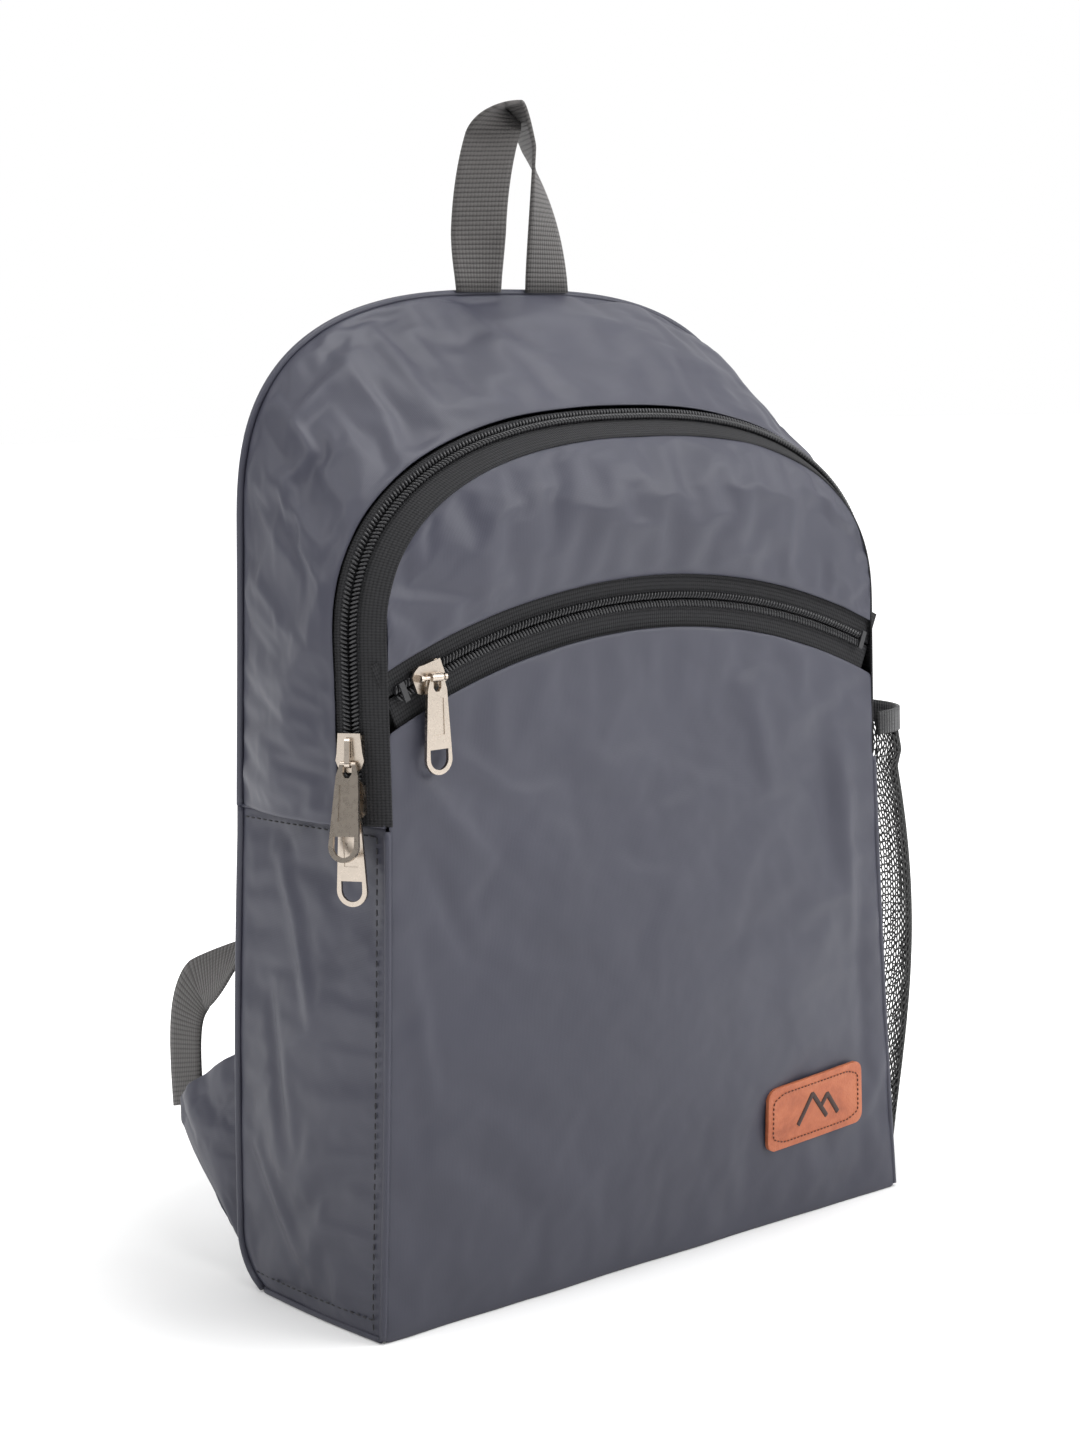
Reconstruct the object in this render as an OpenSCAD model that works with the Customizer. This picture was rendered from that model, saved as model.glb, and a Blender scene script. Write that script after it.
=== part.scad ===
/* [Shell] */
// Half-width of the front face above the side seam
front_half_width = 143; // [130:1:155]
// Half-width of the base
base_half_width = 155; // [140:1:165]
// Half-width of the back panel
back_half_width = 149; // [140:1:160]
// Height of the front face
front_height = 368; // [340:1:390]
// Height of the back panel
back_height = 432; // [400:1:460]
// Plane of the front seam
front_y = -53; // [-60:1:-45]
// Greatest reach of the back panel
back_y = 53.5; // [45:0.5:60]
// How far the back leans forward towards the top
back_lean = 18; // [10:1:45]
// Radius of the rounded rear base edge
base_round = 26; // [15:1:40]
// Height where the front arch springs
front_spring = 285; // [240:1:300]
// Height where the back arch springs
back_spring = 330; // [300:1:360]
// Squareness of the front arch: 2 is round
front_squareness = 2.4; // [2:0.1:4]
// Squareness of the back arch
back_squareness = 2.8; // [2:0.1:4]
// Height where the gusset is sewn to the side panels
seam_z = 214; // [200:1:230]
// Fabric panel thickness
cloth = 1.6; // [1:0.1:3]

/* [Zippers] */
// Front arch zipper: distance from the front seam to the chain
main_tape = 15; // [10:0.5:20]
// Centre height of the arc the pocket zipper follows
pocket_arc_z = -46; // [-80:1:0]
// Radius of that arc
pocket_arc_r = 342; // [300:1:400]
// Half the arc's sweep
pocket_arc_deg = 23.6; // [18:0.1:26]
// Width of one coil
coil_width = 3.1; // [2:0.1:4]
// Height of a coil
coil_height = 2.8; // [2:0.1:4]
// Gap between the two coils
coil_gap = 1.2; // [1:0.1:2]

/* [Sliders] */
// Slider plate length
slider_length = 16; // [12:0.5:20]
// Slider plate width
slider_width = 12.5; // [10:0.5:15]
// Radius of the slider's cross bar
bar_radius = 0.9; // [0.7:0.05:1.2]
// Running clearance of the pull's eye
bar_clearance = 0.06; // [0.02:0.01:0.1]
// Length of a pull tab
pull_length = 40; // [30:1:45]
// Height of the lower main slider
lower_slider_z = 226; // [222:1:240]
// Spacing of the two main sliders
slider_pitch = 18.5; // [17:0.5:24]
// Rest angle of the pocket slider on its arc
pocket_slider_deg = -21; // [-22:0.5:0]
// Tilt of the upper pull where it lies over the lower slider
upper_pull_tilt = 12; // [8:0.5:16]

/* [Straps] */
// Webbing width
webbing_width = 25; // [20:1:30]
// Webbing thickness
webbing_thick = 1.5; // [1:0.1:2.5]
// Top of the haul loop
haul_top = 517; // [480:1:530]
// Padded strap width at the shoulder
strap_width = 62; // [50:1:75]
// Padded strap foam thickness
strap_foam = 8; // [5:0.5:12]
// Height of the strap's top seam
strap_top_z = 404; // [380:1:420]
// Height of the strap's lower end
strap_end_z = 166; // [150:1:190]
// Reach of the side wings behind the back panel
wing_reach = 58; // [40:1:80]

/* [Pocket and patch] */
// Height of the mesh pocket
mesh_height = 222; // [150:1:230]
// How far the mesh pocket stands out
mesh_bulge = 48; // [10:1:60]
// Patch width
patch_width = 66; // [50:1:80]
// Patch height
patch_height = 30; // [20:1:40]

/* [Hidden] */
air = 0.2;
chain_half = coil_gap / 2 + coil_width;
chain_y = front_y + main_tape * cos(30);
chain_half_width = front_half_width + main_tape * sin(30);
chain_height = front_height + main_tape * sin(30);
tape_thick = 0.8;
gusset_tape = 7;
pocket_y = front_y + 2;
cols = 32;
grey = [0.36, 0.37, 0.41];
black = [0.06, 0.06, 0.065];
nickel = [0.75, 0.73, 0.70];
strap_grey = [0.40, 0.39, 0.38];

function mix(a, b, t) = a + (b - a) * t;
function clamp01(t) = min(1, max(0, t));

// Outer y of the back panel at a height: leans forward to the top, rounds under at the base
function back_at(z) = back_y - back_lean * (1 - cos(180 * clamp01((z - 60) / 360))) / 2
    - (z < base_round ? base_round - sqrt(max(0, base_round ^ 2 - (base_round - z) ^ 2)) : 0);
// Half-width of the front seam at a height
function front_w(z) = front_half_width
    + (base_half_width - front_half_width) * clamp01((258 - z) / 258) ^ 1.5;
function back_w(z) = mix(base_half_width - 1, back_half_width, clamp01(z / 200));

// Half-arch: s = 0 at the crown, 1 at the foot; returns [x, z, outward x, outward z]
function arch(w, h, k, m, foot, s) =
    let (a = abs(s), g = s < 0 ? -1 : 1, e = 150 * a, q = 2 / m,
         nx = max(0, sin(e)) ^ (2 - q) / w, nz = max(0, cos(e)) ^ (2 - q) / (h - k),
         l = norm([nx, nz]))
    a > 0.6 ? [g * w, mix(k, foot, (a - 0.6) / 0.4), g, 0]
    : [g * w * max(0, sin(e)) ^ q, k + (h - k) * max(0, cos(e)) ^ q, g * nx / l, nz / l];
// The same arch as height over x, and as half-width over height
function arch_z(w, h, k, m, x) = k + (h - k)
    * max(0, 1 - (abs(x) / w) ^ m) ^ (1 / m);
function arch_w(w, h, k, m, z) = z < k ? w
    : w * max(0, 1 - ((z - k) / (h - k)) ^ m) ^ (1 / m);
function chain_arch(s) = arch(chain_half_width, chain_height, front_spring, front_squareness,
                              seam_z + air, s);
function back_arch(s) = arch(back_half_width, back_height, back_spring, back_squareness,
                             seam_z + air, s);
// A point of the front zipper band: across t (towards the front seam) and out n
function band(s, t, n) = let (a = chain_arch(s), er = -t * sin(30) + n * cos(30))
    [a[0] + a[2] * er, chain_y - t * cos(30) - n * sin(30), a[1] + a[3] * er];

// Top edge of the front face over x, and the pocket arc over x
function front_top(x) = arch_z(front_half_width, front_height, front_spring,
                               front_squareness, x);
function arc_z(x, rho) = pocket_arc_z + sqrt(rho ^ 2 - x ^ 2);
// Outer y of the front pocket panel
function pocket_face(x, z) = let (u = min(1, abs(x) / front_w(z)),
                                  v = clamp01(z / arc_z(min(143, abs(x)), 331)))
    front_y - (1 - u * u) * (1.5 * v + 9 * max(0, sin(180 * v ^ 0.75)) ^ 1.5);

// Closed thin body between two point grids; the outer normal is columns x rows
module slab(o, i) {
    r = len(o);
    c = len(o[0]);
    n = r * c;
    pts = concat([for (a = o) each a], [for (a = i) each a]);
    function q(a, b, d, e) = [[a, b, d], [a, d, e]];
    outer = [for (j = [0:r - 2], k = [0:c - 2])
        each q(j * c + k, (j + 1) * c + k, (j + 1) * c + k + 1, j * c + k + 1)];
    inner = [for (j = [0:r - 2], k = [0:c - 2])
        each q(n + j * c + k, n + j * c + k + 1, n + (j + 1) * c + k + 1, n + (j + 1) * c + k)];
    low = [for (k = [0:c - 2]) each q(k, k + 1, n + k + 1, n + k)];
    high = [for (k = [0:c - 2]) let (b = (r - 1) * c + k) each q(b, n + b, n + b + 1, b + 1)];
    left = [for (j = [0:r - 2]) each q(j * c, n + j * c, n + (j + 1) * c, (j + 1) * c)];
    right = [for (j = [0:r - 2]) let (b = j * c + c - 1)
        each q(b, b + c, n + b + c, n + b)];
    polyhedron(pts, concat(outer, inner, low, high, left, right), convexity = 6);
}

// Ribbon along a centre line c with half-width vectors w and half-thickness vectors n
module ribbon(c, w, n) {
    slab([for (k = [0:len(c) - 1]) [c[k] - w[k] + n[k], c[k] + w[k] + n[k]]],
         [for (k = [0:len(c) - 1]) [c[k] - w[k] - n[k], c[k] + w[k] - n[k]]]);
}

module mirrored(side) {
    if (side > 0) mirror([1, 0, 0]) children();
    else children();
}

// ---- shell panels ----
module front_pocket_panel() {
    rows = 20;
    function p(j, k, d) = let (u = 2 * k / cols - 1, z = j / rows
        * arc_z(u * front_half_width, 331), x = u * (front_w(z) - air))
        [x, pocket_face(x, z) + d, z];
    color(grey) slab([for (j = [0:rows]) [for (k = [0:cols]) p(j, k, 0)]],
                     [for (j = [0:rows]) [for (k = [0:cols]) p(j, k, cloth)]]);
}

module front_upper_panel() {
    rows = 8;
    function p(j, k, d) = let (u = 2 * k / cols - 1, x = sin(90 * u) * (front_half_width - 1.4),
        v = j / rows, z = mix(arc_z(x, 353), front_top(x) - air, v))
        [x, front_y - (1 - u * u) * (2 * (1 - v) + 9 * sin(180 * v) ^ 0.8) + d, z];
    color(grey) slab([for (j = [0:rows]) [for (k = [0:cols]) p(j, k, 0)]],
                     [for (j = [0:rows]) [for (k = [0:cols]) p(j, k, cloth)]]);
}

module pocket_back_wall() {
    rows = 12;
    y = front_y + 7;
    function p(j, k, d) = let (u = 2 * k / cols - 1, x = u * (front_half_width - 5))
        [x, y + d, mix(4, front_top(x) - 6, j / rows)];
    color(black) slab([for (j = [0:rows]) [for (k = [0:cols]) p(j, k, 0)]],
                      [for (j = [0:rows]) [for (k = [0:cols]) p(j, k, 1)]]);
}

module side_panel(side) {
    rows = 14;
    deep = 8;
    function p(j, k, d) = let (z = (seam_z - air) * (j / rows) ^ 1.4,
        t = 1 - k / deep)
        [-(mix(front_w(z), back_w(z), t) + 4 * sin(180 * t) * sin(180 * clamp01(z / 250 + 0.1)))
         + d, mix(front_y + cloth + 2 * air, back_at(z) - cloth - 2.4, t), z];
    mirrored(side) color(grey) slab([for (j = [0:rows]) [for (k = [0:deep]) p(j, k, 0)]],
                                    [for (j = [0:rows]) [for (k = [0:deep]) p(j, k, cloth)]]);
}

module side_panel_left() { side_panel(-1); }
module side_panel_right() { side_panel(1); }

module bottom_panel() {
    w = base_half_width - cloth - 2;
    color(grey) translate([-w, front_y + cloth + 2 * air, 0])
        cube([2 * w, back_at(0) - front_y - 2 * cloth - 4 * air, cloth]);
}

module gusset_panel() {
    rows = 6;
    n = 56;
    function p(j, k, d) = let (s = 2 * k / n - 1, v = j / rows,
        a = band(s, -gusset_tape - air, 1.9), e = chain_arch(s), b = back_arch(s),
        y = back_at(b[1]) - cloth - 2 * air, f = 5 * sin(180 * v) - d)
        [mix(a[0], b[0], v) + e[2] * f, mix(a[1], y, v), mix(a[2], b[1], v) + e[3] * f];
    color(grey) slab([for (j = [0:rows]) [for (k = [0:n]) p(j, k, 0)]],
                     [for (j = [0:rows]) [for (k = [0:n]) p(j, k, cloth)]]);
}

// Grid over the back outline, inset by m; y offset from the back surface
module back_sheet(m, y0, y1, foot) {
    rows = 32;
    n = 20;
    function p(j, k, d) = let (u = 1 - 2 * k / n, v = (1 - (1 - j / rows) ^ 1.6) ^ 1.35,
        z = mix(foot, back_height - m - 0.4, v),
        x = u * (z < back_spring ? back_w(z) - m
                 : arch_w(back_half_width - m, back_height - m, back_spring,
                          back_squareness, z)))
        [x, back_at(z) + d, z];
    slab([for (j = [0:rows]) [for (k = [0:n]) p(j, k, y1)]],
         [for (j = [0:rows]) [for (k = [0:n]) p(j, k, y0)]]);
}

module back_panel() { color(grey) back_sheet(0, -cloth, 0, 0); }
module back_foam() { color([0.8, 0.8, 0.78]) back_sheet(14, -6.8, -cloth - air, 30); }
module back_lining() { color(black) back_sheet(6, -8, -7, 30); }

// ---- front arch zipper ----
module band_strip(t0, t1, n0, n1) {
    n = 56;
    slab([for (t = [t1, t0]) [for (k = [0:n]) band(2 * k / n - 1, t, n1)]],
         [for (t = [t1, t0]) [for (k = [0:n]) band(2 * k / n - 1, t, n0)]]);
}

module main_tape_front() { color(black) band_strip(coil_gap / 2, main_tape - 2.6, -tape_thick, 0); }
module main_tape_gusset() {
    color(black) band_strip(-gusset_tape, -coil_gap / 2, -tape_thick, 0);
}
module main_coil_front() {
    color(black) band_strip(coil_gap / 2, chain_half, 0.1, coil_height);
}
module main_coil_gusset() {
    color(black) band_strip(-chain_half, -coil_gap / 2, 0.1, coil_height);
}

module at_chain(z, side) {
    mirrored(side) translate([-chain_half_width, chain_y, z]) rotate([0, 0, -60])
        rotate([90, 0, 0]) children();
}

module main_zip_stops() {
    color(black) for (side = [-1, 1]) at_chain(seam_z + 0.6, side)
        translate([-chain_half - 0.5, -0.3, coil_height + air])
            cube([2 * chain_half + 1, 1.6, 0.8]);
}

// ---- pocket zipper ----
module arc_strip(r0, r1, y0, y1) {
    n = 40;
    function p(k, r, y) = let (a = pocket_arc_deg * (2 * k / n - 1))
        [r * sin(a), y, pocket_arc_z + r * cos(a)];
    slab([for (r = [r0, r1]) [for (k = [0:n]) p(k, r, y0)]],
         [for (r = [r0, r1]) [for (k = [0:n]) p(k, r, y1)]]);
}

module pocket_tape_lower() {
    color(black) arc_strip(326, pocket_arc_r - coil_gap / 2, pocket_y, pocket_y + tape_thick);
}
module pocket_tape_upper() {
    color(black) arc_strip(pocket_arc_r + coil_gap / 2, 358, pocket_y, pocket_y + tape_thick);
}
module pocket_coil_lower() {
    color(black) arc_strip(pocket_arc_r - chain_half, pocket_arc_r - coil_gap / 2,
                           pocket_y - coil_height, pocket_y - 0.1);
}
module pocket_coil_upper() {
    color(black) arc_strip(pocket_arc_r + coil_gap / 2, pocket_arc_r + chain_half,
                           pocket_y - coil_height, pocket_y - 0.1);
}

// Frame on the pocket arc: x along the arc, y outward from its centre, z out of the bag
module at_arc(deg) {
    translate([0, pocket_y, pocket_arc_z]) rotate([0, deg, 0])
        translate([0, 0, pocket_arc_r]) rotate([90, 0, 0]) children();
}

module pocket_zip_stops() {
    color(black) for (g = [-1, 1]) at_arc(g * (pocket_arc_deg - 0.4))
        translate([-1.3, -chain_half - 0.5, coil_height + air])
            cube([2.6, 2 * chain_half + 1, 0.8]);
}

// ---- sliders and pulls; local x across, y along the chain, z out ----
bar_z = 5.9;
pocket_bar_z = 6.8;
bar_y = -4.2;
bail_width = 2.2;
eye_width = 5.6;
pull_offset = 1.5;
plate_z = coil_height + 0.4;

// Plate outline: flat at the tail, round and wider at the nose (+y)
module plate2d() {
    polygon([[-4.9, -slider_length / 2], [4.9, -slider_length / 2], [slider_width / 2 - 0.6, 0],
             [slider_width / 2, 3.2], [slider_width / 2 - 1.2, 6.2], [3.4, slider_length / 2],
             [-3.4, slider_length / 2], [1.2 - slider_width / 2, 6.2],
             [-slider_width / 2, 3.2], [0.6 - slider_width / 2, 0]]);
}

module slider_plates(nose) {
    rotate([0, 0, nose > 0 ? 0 : 180]) {
        translate([0, 0, plate_z]) linear_extrude(1.2) plate2d();
        translate([0, 0, -tape_thick - 1.4]) linear_extrude(1.1) plate2d();
        for (g = [-1, 1]) translate([g * 4.75 - 0.4, -7, 0.5])
            cube([0.8, 12, plate_z - 0.3]);
        translate([-0.4, 2, -tape_thick - 0.5]) cube([0.8, 5, coil_height + tape_thick + 1.2]);
    }
}

// Slider whose bail stands along the chain, with the bore for the pull's cross pin
module slider_body(nose) {
    slider_plates(nose);
    rotate([90, 0, 90]) linear_extrude(bail_width, center = true) difference() {
        union() {
            polygon([[6.4, plate_z + 1], [6, 6.1], [5.2, 6.7], [bar_y, 7.5], [bar_y, 4.3],
                     [bar_y, plate_z + 1]]);
            translate([bar_y, bar_z]) circle(r = 1.7, $fn = 40);
            translate([bar_y - 1.2, plate_z + 0.9]) square([2.4, 1.8]);
        }
        translate([bar_y, bar_z]) circle(r = bar_radius + bar_clearance, $fn = 40);
        polygon([[4.9, 5], [4.6, 5.8], [-1.6, 6.2], [-1.6, 5]]);
    }
}

// Slider whose bail is a round bar between two posts, turned about the outward axis
module bar_slider_body(nose, bar_turn) {
    slider_plates(nose);
    rotate([0, 0, bar_turn]) {
        for (g = [-1, 1]) translate([g * 6, 0, 0]) rotate([0, 90, 0])
            linear_extrude(1.2, center = true) union() {
                translate([-pocket_bar_z, 0]) circle(r = 1.5, $fn = 32);
                translate([-pocket_bar_z, -1.5]) square([pocket_bar_z - plate_z - 0.9, 3]);
            }
        translate([0, 0, pocket_bar_z]) rotate([0, 90, 0])
            cylinder(r = bar_radius, h = 12, center = true, $fn = 40);
    }
}

// Tapered tab hanging towards -y, with a window at the top and a D-shaped finger hole
module tab2d() {
    end = pull_length - 6.7;
    difference() {
        union() {
            polygon([[-3.5, -0.4], [3.5, -0.4], [4.9, -5], [6.6, -end], [-6.6, -end],
                     [-4.9, -5]]);
            translate([0, -end]) circle(r = 6.6, $fn = 56);
        }
        polygon([[-2.0, 2], [2.0, 2], [2.0, -4.2], [0.9, -5.8], [-0.9, -5.8], [-2.0, -4.2]]);
        intersection() {
            translate([0, -end]) circle(r = 4.6, $fn = 48);
            translate([-5, -end - 5]) square([10, 5]);
        }
        translate([-4.6, -end - 0.1]) square([9.2, 4]);
    }
}

module tab_plate() {
    difference() {
        translate([0, 0, -0.8]) linear_extrude(1.6) tab2d();
        translate([-3, -23.5, 0.45]) cube([6, 15, 1]);
    }
}

// Pull with a cross pin for the slider's bore
module pin_pull() {
    tab_plate();
    rotate([0, 90, 0]) cylinder(r = bar_radius, h = 6.4, center = true, $fn = 40);
}

// Pull with an eye around the slider's bar
module eye_pull() {
    difference() {
        union() {
            tab_plate();
            rotate([0, 90, 0]) cylinder(r = 1.9, h = eye_width, center = true, $fn = 40);
        }
        rotate([0, 90, 0])
            cylinder(r = bar_radius + bar_clearance, h = eye_width + 4, center = true, $fn = 40);
    }
}

module main_slider_upper() {
    color(nickel) at_chain(lower_slider_z + slider_pitch, -1) slider_body(-1);
}
module main_slider_lower() {
    color(nickel) at_chain(lower_slider_z, -1) slider_body(1);
}
module pocket_slider() {
    color(nickel) at_arc(pocket_slider_deg) rotate([0, 0, 90])
        bar_slider_body(1, pocket_slider_deg - 90);
}
module pull_upper() {
    color(nickel) at_chain(lower_slider_z + slider_pitch, -1) translate([0, bar_y, bar_z])
        rotate([-upper_pull_tilt, 0, 0]) pin_pull();
}
module pull_lower() {
    color(nickel) at_chain(lower_slider_z, -1) translate([0, bar_y, bar_z]) pin_pull();
}
module pull_pocket() {
    color(nickel) at_arc(pocket_slider_deg) rotate([0, 0, pocket_slider_deg])
        translate([pull_offset, 0, pocket_bar_z]) eye_pull();
}

// ---- haul loop, yoke, patch, mesh pocket ----
module haul_loop() {
    n = 28;
    y = back_at(back_height) - 3;
    foot = back_height + 0.5;
    function c(t) = let (a = 180 * t) [-20 * cos(a) * (1 - 0.35 * sin(a) ^ 2),
        y, foot + (haul_top - foot - 1) * sin(a) ^ 0.75];
    function turn(t) = t < 0.3 ? -32 * min(1, t / 0.07) : t < 0.5 ? mix(-32, 80, (t - 0.3) / 0.2)
        : t < 0.75 ? mix(80, 62, (t - 0.5) / 0.25) : mix(62, 0, (t - 0.75) / 0.25);
    function w(t) = [cos(turn(t)), sin(turn(t)), 0] * webbing_width / 2;
    function nn(t) = let (m = cross(w(t), c(min(1, t + 0.01)) - c(max(0, t - 0.01))))
        m / norm(m) * webbing_thick / 2;
    color(strap_grey) ribbon([for (k = [0:n]) c(k / n)], [for (k = [0:n]) w(k / n)],
                             [for (k = [0:n]) nn(k / n)]);
}

module strap_yoke() {
    z0 = strap_top_z - 6;
    z1 = strap_top_z + 14;
    function p(j, k, d) = let (z = mix(z0, z1, j / 4)) [88 * (1 - k / 4), back_at(z) + d, z];
    color(grey) slab([for (j = [0:4]) [for (k = [0:8]) p(j, k, 1.6)]],
                     [for (j = [0:4]) [for (k = [0:8]) p(j, k, air)]]);
}

module leather_patch() {
    n = 14;
    r = 5;
    function half(z) = let (e = max(0, abs(z) - patch_height / 2 + r))
        patch_width / 2 - r + sqrt(max(0, r * r - e * e));
    function p(j, k, d) = let (z = -patch_height / 2 * cos(180 * j / n),
        x = half(z) * (2 * k / n - 1), xx = 94 + x * cos(2) - z * sin(2),
        zz = 53 + z * cos(2) + x * sin(2)) [xx, pocket_face(xx, zz) - d, zz];
    color([0.45, 0.16, 0.08]) slab([for (j = [0:n]) [for (k = [0:n]) p(j, k, 1.8)]],
                                   [for (j = [0:n]) [for (k = [0:n]) p(j, k, air)]]);
}

// Outer x of the mesh pocket on the right side
function mesh_x(t, v) = let (z = mix(10, mesh_height, v))
    mix(front_w(z), back_w(z), t) + 4 * sin(180 * t) * sin(180 * clamp01(z / 250 + 0.1)) + 0.6
    + 4.5 * clamp01((z - 203) / 8)
    + mesh_bulge * (1 - abs(1 - 2 * t) ^ 2.6) ^ 0.46 * (0.12 + 0.88 * sin(180 * v ^ 0.85 * 0.76));
function mesh_y(t, v) = let (z = mix(10, mesh_height, v))
    mix(front_y + 3.5, back_at(z) - 6, t);

module mesh_pocket() {
    rows = 14;
    n = 14;
    function p(j, k, d) = [mesh_x(k / n, j / rows) + d, mesh_y(k / n, j / rows),
                           mix(10, mesh_height, j / rows)];
    color(black) slab([for (j = [0:rows]) [for (k = [0:n]) p(j, k, 1)]],
                      [for (j = [0:rows]) [for (k = [0:n]) p(j, k, 0)]]);
}

module mesh_binding() {
    n = 14;
    function p(z, k, d) = [mesh_x(k / n, 1) + d, mesh_y(k / n, 1), mesh_height + air + z];
    color(black) slab([for (z = [0, 10]) [for (k = [0:n]) p(z, k, 2)]],
                      [for (z = [0, 10]) [for (k = [0:n]) p(z, k, 0)]]);
}

// ---- shoulder straps; modelled on the left ----
function strap_c(q) = let (z = mix(strap_top_z, strap_end_z, q))
    [-mix(44, 122, (1 - cos(180 * q)) / 2), back_at(z) + 2.4 + 15 * sin(180 * q), z];
function strap_w(q) = mix(strap_width, webbing_width + 7, clamp01(q * 1.05 - 0.05) ^ 1.6) / 2;

module strap_layer(d0, d1, inset) {
    n = 26;
    m = 6;
    function p(j, k, d) = let (q = 1 - j / n, c = strap_c(q), w = strap_w(q) - inset)
        [c[0] + w * (1 - 2 * k / m), c[1] + d, c[2]];
    slab([for (j = [0:n]) [for (k = [0:m]) p(j, k, d1)]],
         [for (j = [0:n]) [for (k = [0:m]) p(j, k, d0)]]);
}

module strap_mesh(side) { mirrored(side) color(black) strap_layer(0, 1.1, 0); }
module strap_pad(side) {
    mirrored(side) color([0.8, 0.8, 0.78]) strap_layer(1.3, 1.3 + strap_foam, 2);
}
module strap_face(side) {
    mirrored(side) color(grey) strap_layer(1.5 + strap_foam, 2.7 + strap_foam, 0);
}

lock_z = strap_end_z - 15;
lock_y = strap_c(1)[1] + 3;
lock_x = strap_c(1)[0];

module ladder_lock(side) {
    mirrored(side) color(black) translate([lock_x, lock_y, lock_z]) rotate([-90, 0, 0])
        linear_extrude(4.5) difference() {
            square([36, 27], center = true);
            for (g = [-1, 1]) translate([0, g * 5.6]) square([28, 6.4], center = true);
        }
}

wing_x = -back_half_width + 3;
tip_y = back_y + wing_reach;

module strap_webbing(side) {
    n = 24;
    a = [lock_x, lock_y + 2.2, lock_z + 5.6];
    b = [lock_x - 2, lock_y + 8.5, lock_z + 1];
    c = [wing_x + 8, tip_y - 8, 124];
    d = [wing_x + 3, tip_y - 4, 96];
    e = [wing_x, tip_y - 8, 70];
    function bez(p, q, r, t) = mix(mix(p, q, t), mix(q, r, t), t);
    function line(t) = t < 0.15 ? mix(a, b, t / 0.15)
        : t < 0.6 ? bez(b, c - [0, 34, -16], c, (t - 0.15) / 0.45)
        : bez(c, c + [-3, 12, -14], mix(d, e, clamp01((t - 0.6) / 0.4)), (t - 0.6) / 0.4);
    function turn(t) = 90 * clamp01((t - 0.12) / 0.5);
    function w(t) = let (f = line(min(1, t + 0.02)) - line(max(0, t - 0.02)),
        k = norm(f), side_v = [0, -f[2], f[1]] / norm([0, f[2], f[1]]))
        ([cos(turn(t)), 0, 0] + side_v * sin(turn(t))) * webbing_width / 2;
    function nn(t) = let (f = line(min(1, t + 0.02)) - line(max(0, t - 0.02)),
        m = cross(f, w(t))) m / norm(m) * -webbing_thick / 2;
    mirrored(side) color(strap_grey) ribbon([for (k = [0:n]) line(k / n)],
        [for (k = [0:n]) w(k / n)], [for (k = [0:n]) nn(k / n)]);
}

module wing(side) {
    y0 = back_y + 0.4;
    mirrored(side) color(grey) translate([wing_x - 3, 0, 0]) rotate([90, 0, 90])
        linear_extrude(2) polygon([[y0, 104], [tip_y - 22, 74], [tip_y, 70], [tip_y + 1, 50],
                                   [y0 + 22, 30], [y0 + 12, 12], [y0, 20]]);
}

module strap_mesh_left() { strap_mesh(-1); }
module strap_mesh_right() { strap_mesh(1); }
module strap_foam_left() { strap_pad(-1); }
module strap_foam_right() { strap_pad(1); }
module strap_face_left() { strap_face(-1); }
module strap_face_right() { strap_face(1); }
module ladder_lock_left() { ladder_lock(-1); }
module ladder_lock_right() { ladder_lock(1); }
module strap_webbing_left() { strap_webbing(-1); }
module strap_webbing_right() { strap_webbing(1); }
module wing_left() { wing(-1); }
module wing_right() { wing(1); }

front_pocket_panel();
front_upper_panel();
pocket_back_wall();
side_panel_left();
side_panel_right();
bottom_panel();
gusset_panel();
back_panel();
back_foam();
back_lining();
main_tape_front();
main_tape_gusset();
main_coil_front();
main_coil_gusset();
main_zip_stops();
pocket_tape_lower();
pocket_tape_upper();
pocket_coil_lower();
pocket_coil_upper();
pocket_zip_stops();
main_slider_upper();
main_slider_lower();
pocket_slider();
pull_upper();
pull_lower();
pull_pocket();
haul_loop();
strap_yoke();
leather_patch();
mesh_pocket();
mesh_binding();
strap_face_left();
strap_face_right();
strap_foam_left();
strap_foam_right();
strap_mesh_left();
strap_mesh_right();
ladder_lock_left();
ladder_lock_right();
strap_webbing_left();
strap_webbing_right();
wing_left();
wing_right();
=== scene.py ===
import math

import bmesh
import bpy
import numpy as np
from mathutils import Matrix, Vector, noise


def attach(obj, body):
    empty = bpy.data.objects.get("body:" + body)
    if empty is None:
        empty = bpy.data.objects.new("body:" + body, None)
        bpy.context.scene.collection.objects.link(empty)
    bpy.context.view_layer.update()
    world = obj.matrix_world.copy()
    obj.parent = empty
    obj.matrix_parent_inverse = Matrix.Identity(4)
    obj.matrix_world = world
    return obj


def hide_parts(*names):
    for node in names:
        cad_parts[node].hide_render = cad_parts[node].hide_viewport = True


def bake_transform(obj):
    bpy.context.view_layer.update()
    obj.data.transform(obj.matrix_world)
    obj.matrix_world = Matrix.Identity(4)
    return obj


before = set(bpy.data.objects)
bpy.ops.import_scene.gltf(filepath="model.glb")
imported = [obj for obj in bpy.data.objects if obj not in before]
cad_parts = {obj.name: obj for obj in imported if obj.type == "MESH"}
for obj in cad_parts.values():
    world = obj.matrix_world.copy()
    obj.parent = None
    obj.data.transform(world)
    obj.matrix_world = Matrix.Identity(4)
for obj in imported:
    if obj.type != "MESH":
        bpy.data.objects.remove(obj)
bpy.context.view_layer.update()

# ---- driving dimensions, in millimetres, as in the CAD; the shell's widths are half-widths ----
FRONT_W, BASE_W, BACK_W = 143.0, 155.0, 149.0
FRONT_H, BACK_H = 368.0, 432.0
FRONT_Y, BACK_Y, BASE_R = -53.0, 53.5, 26.0
LEAN, LEAN_FROM, LEAN_OVER = 18.0, 60.0, 360.0
FRONT_TAPER, BACK_TAPER = 258.0, 200.0
SPRING_F, SPRING_B, SQ_F, SQ_B, SEAM = 285.0, 330.0, 2.4, 2.8, 214.0
TAPE = 15.0
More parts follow.
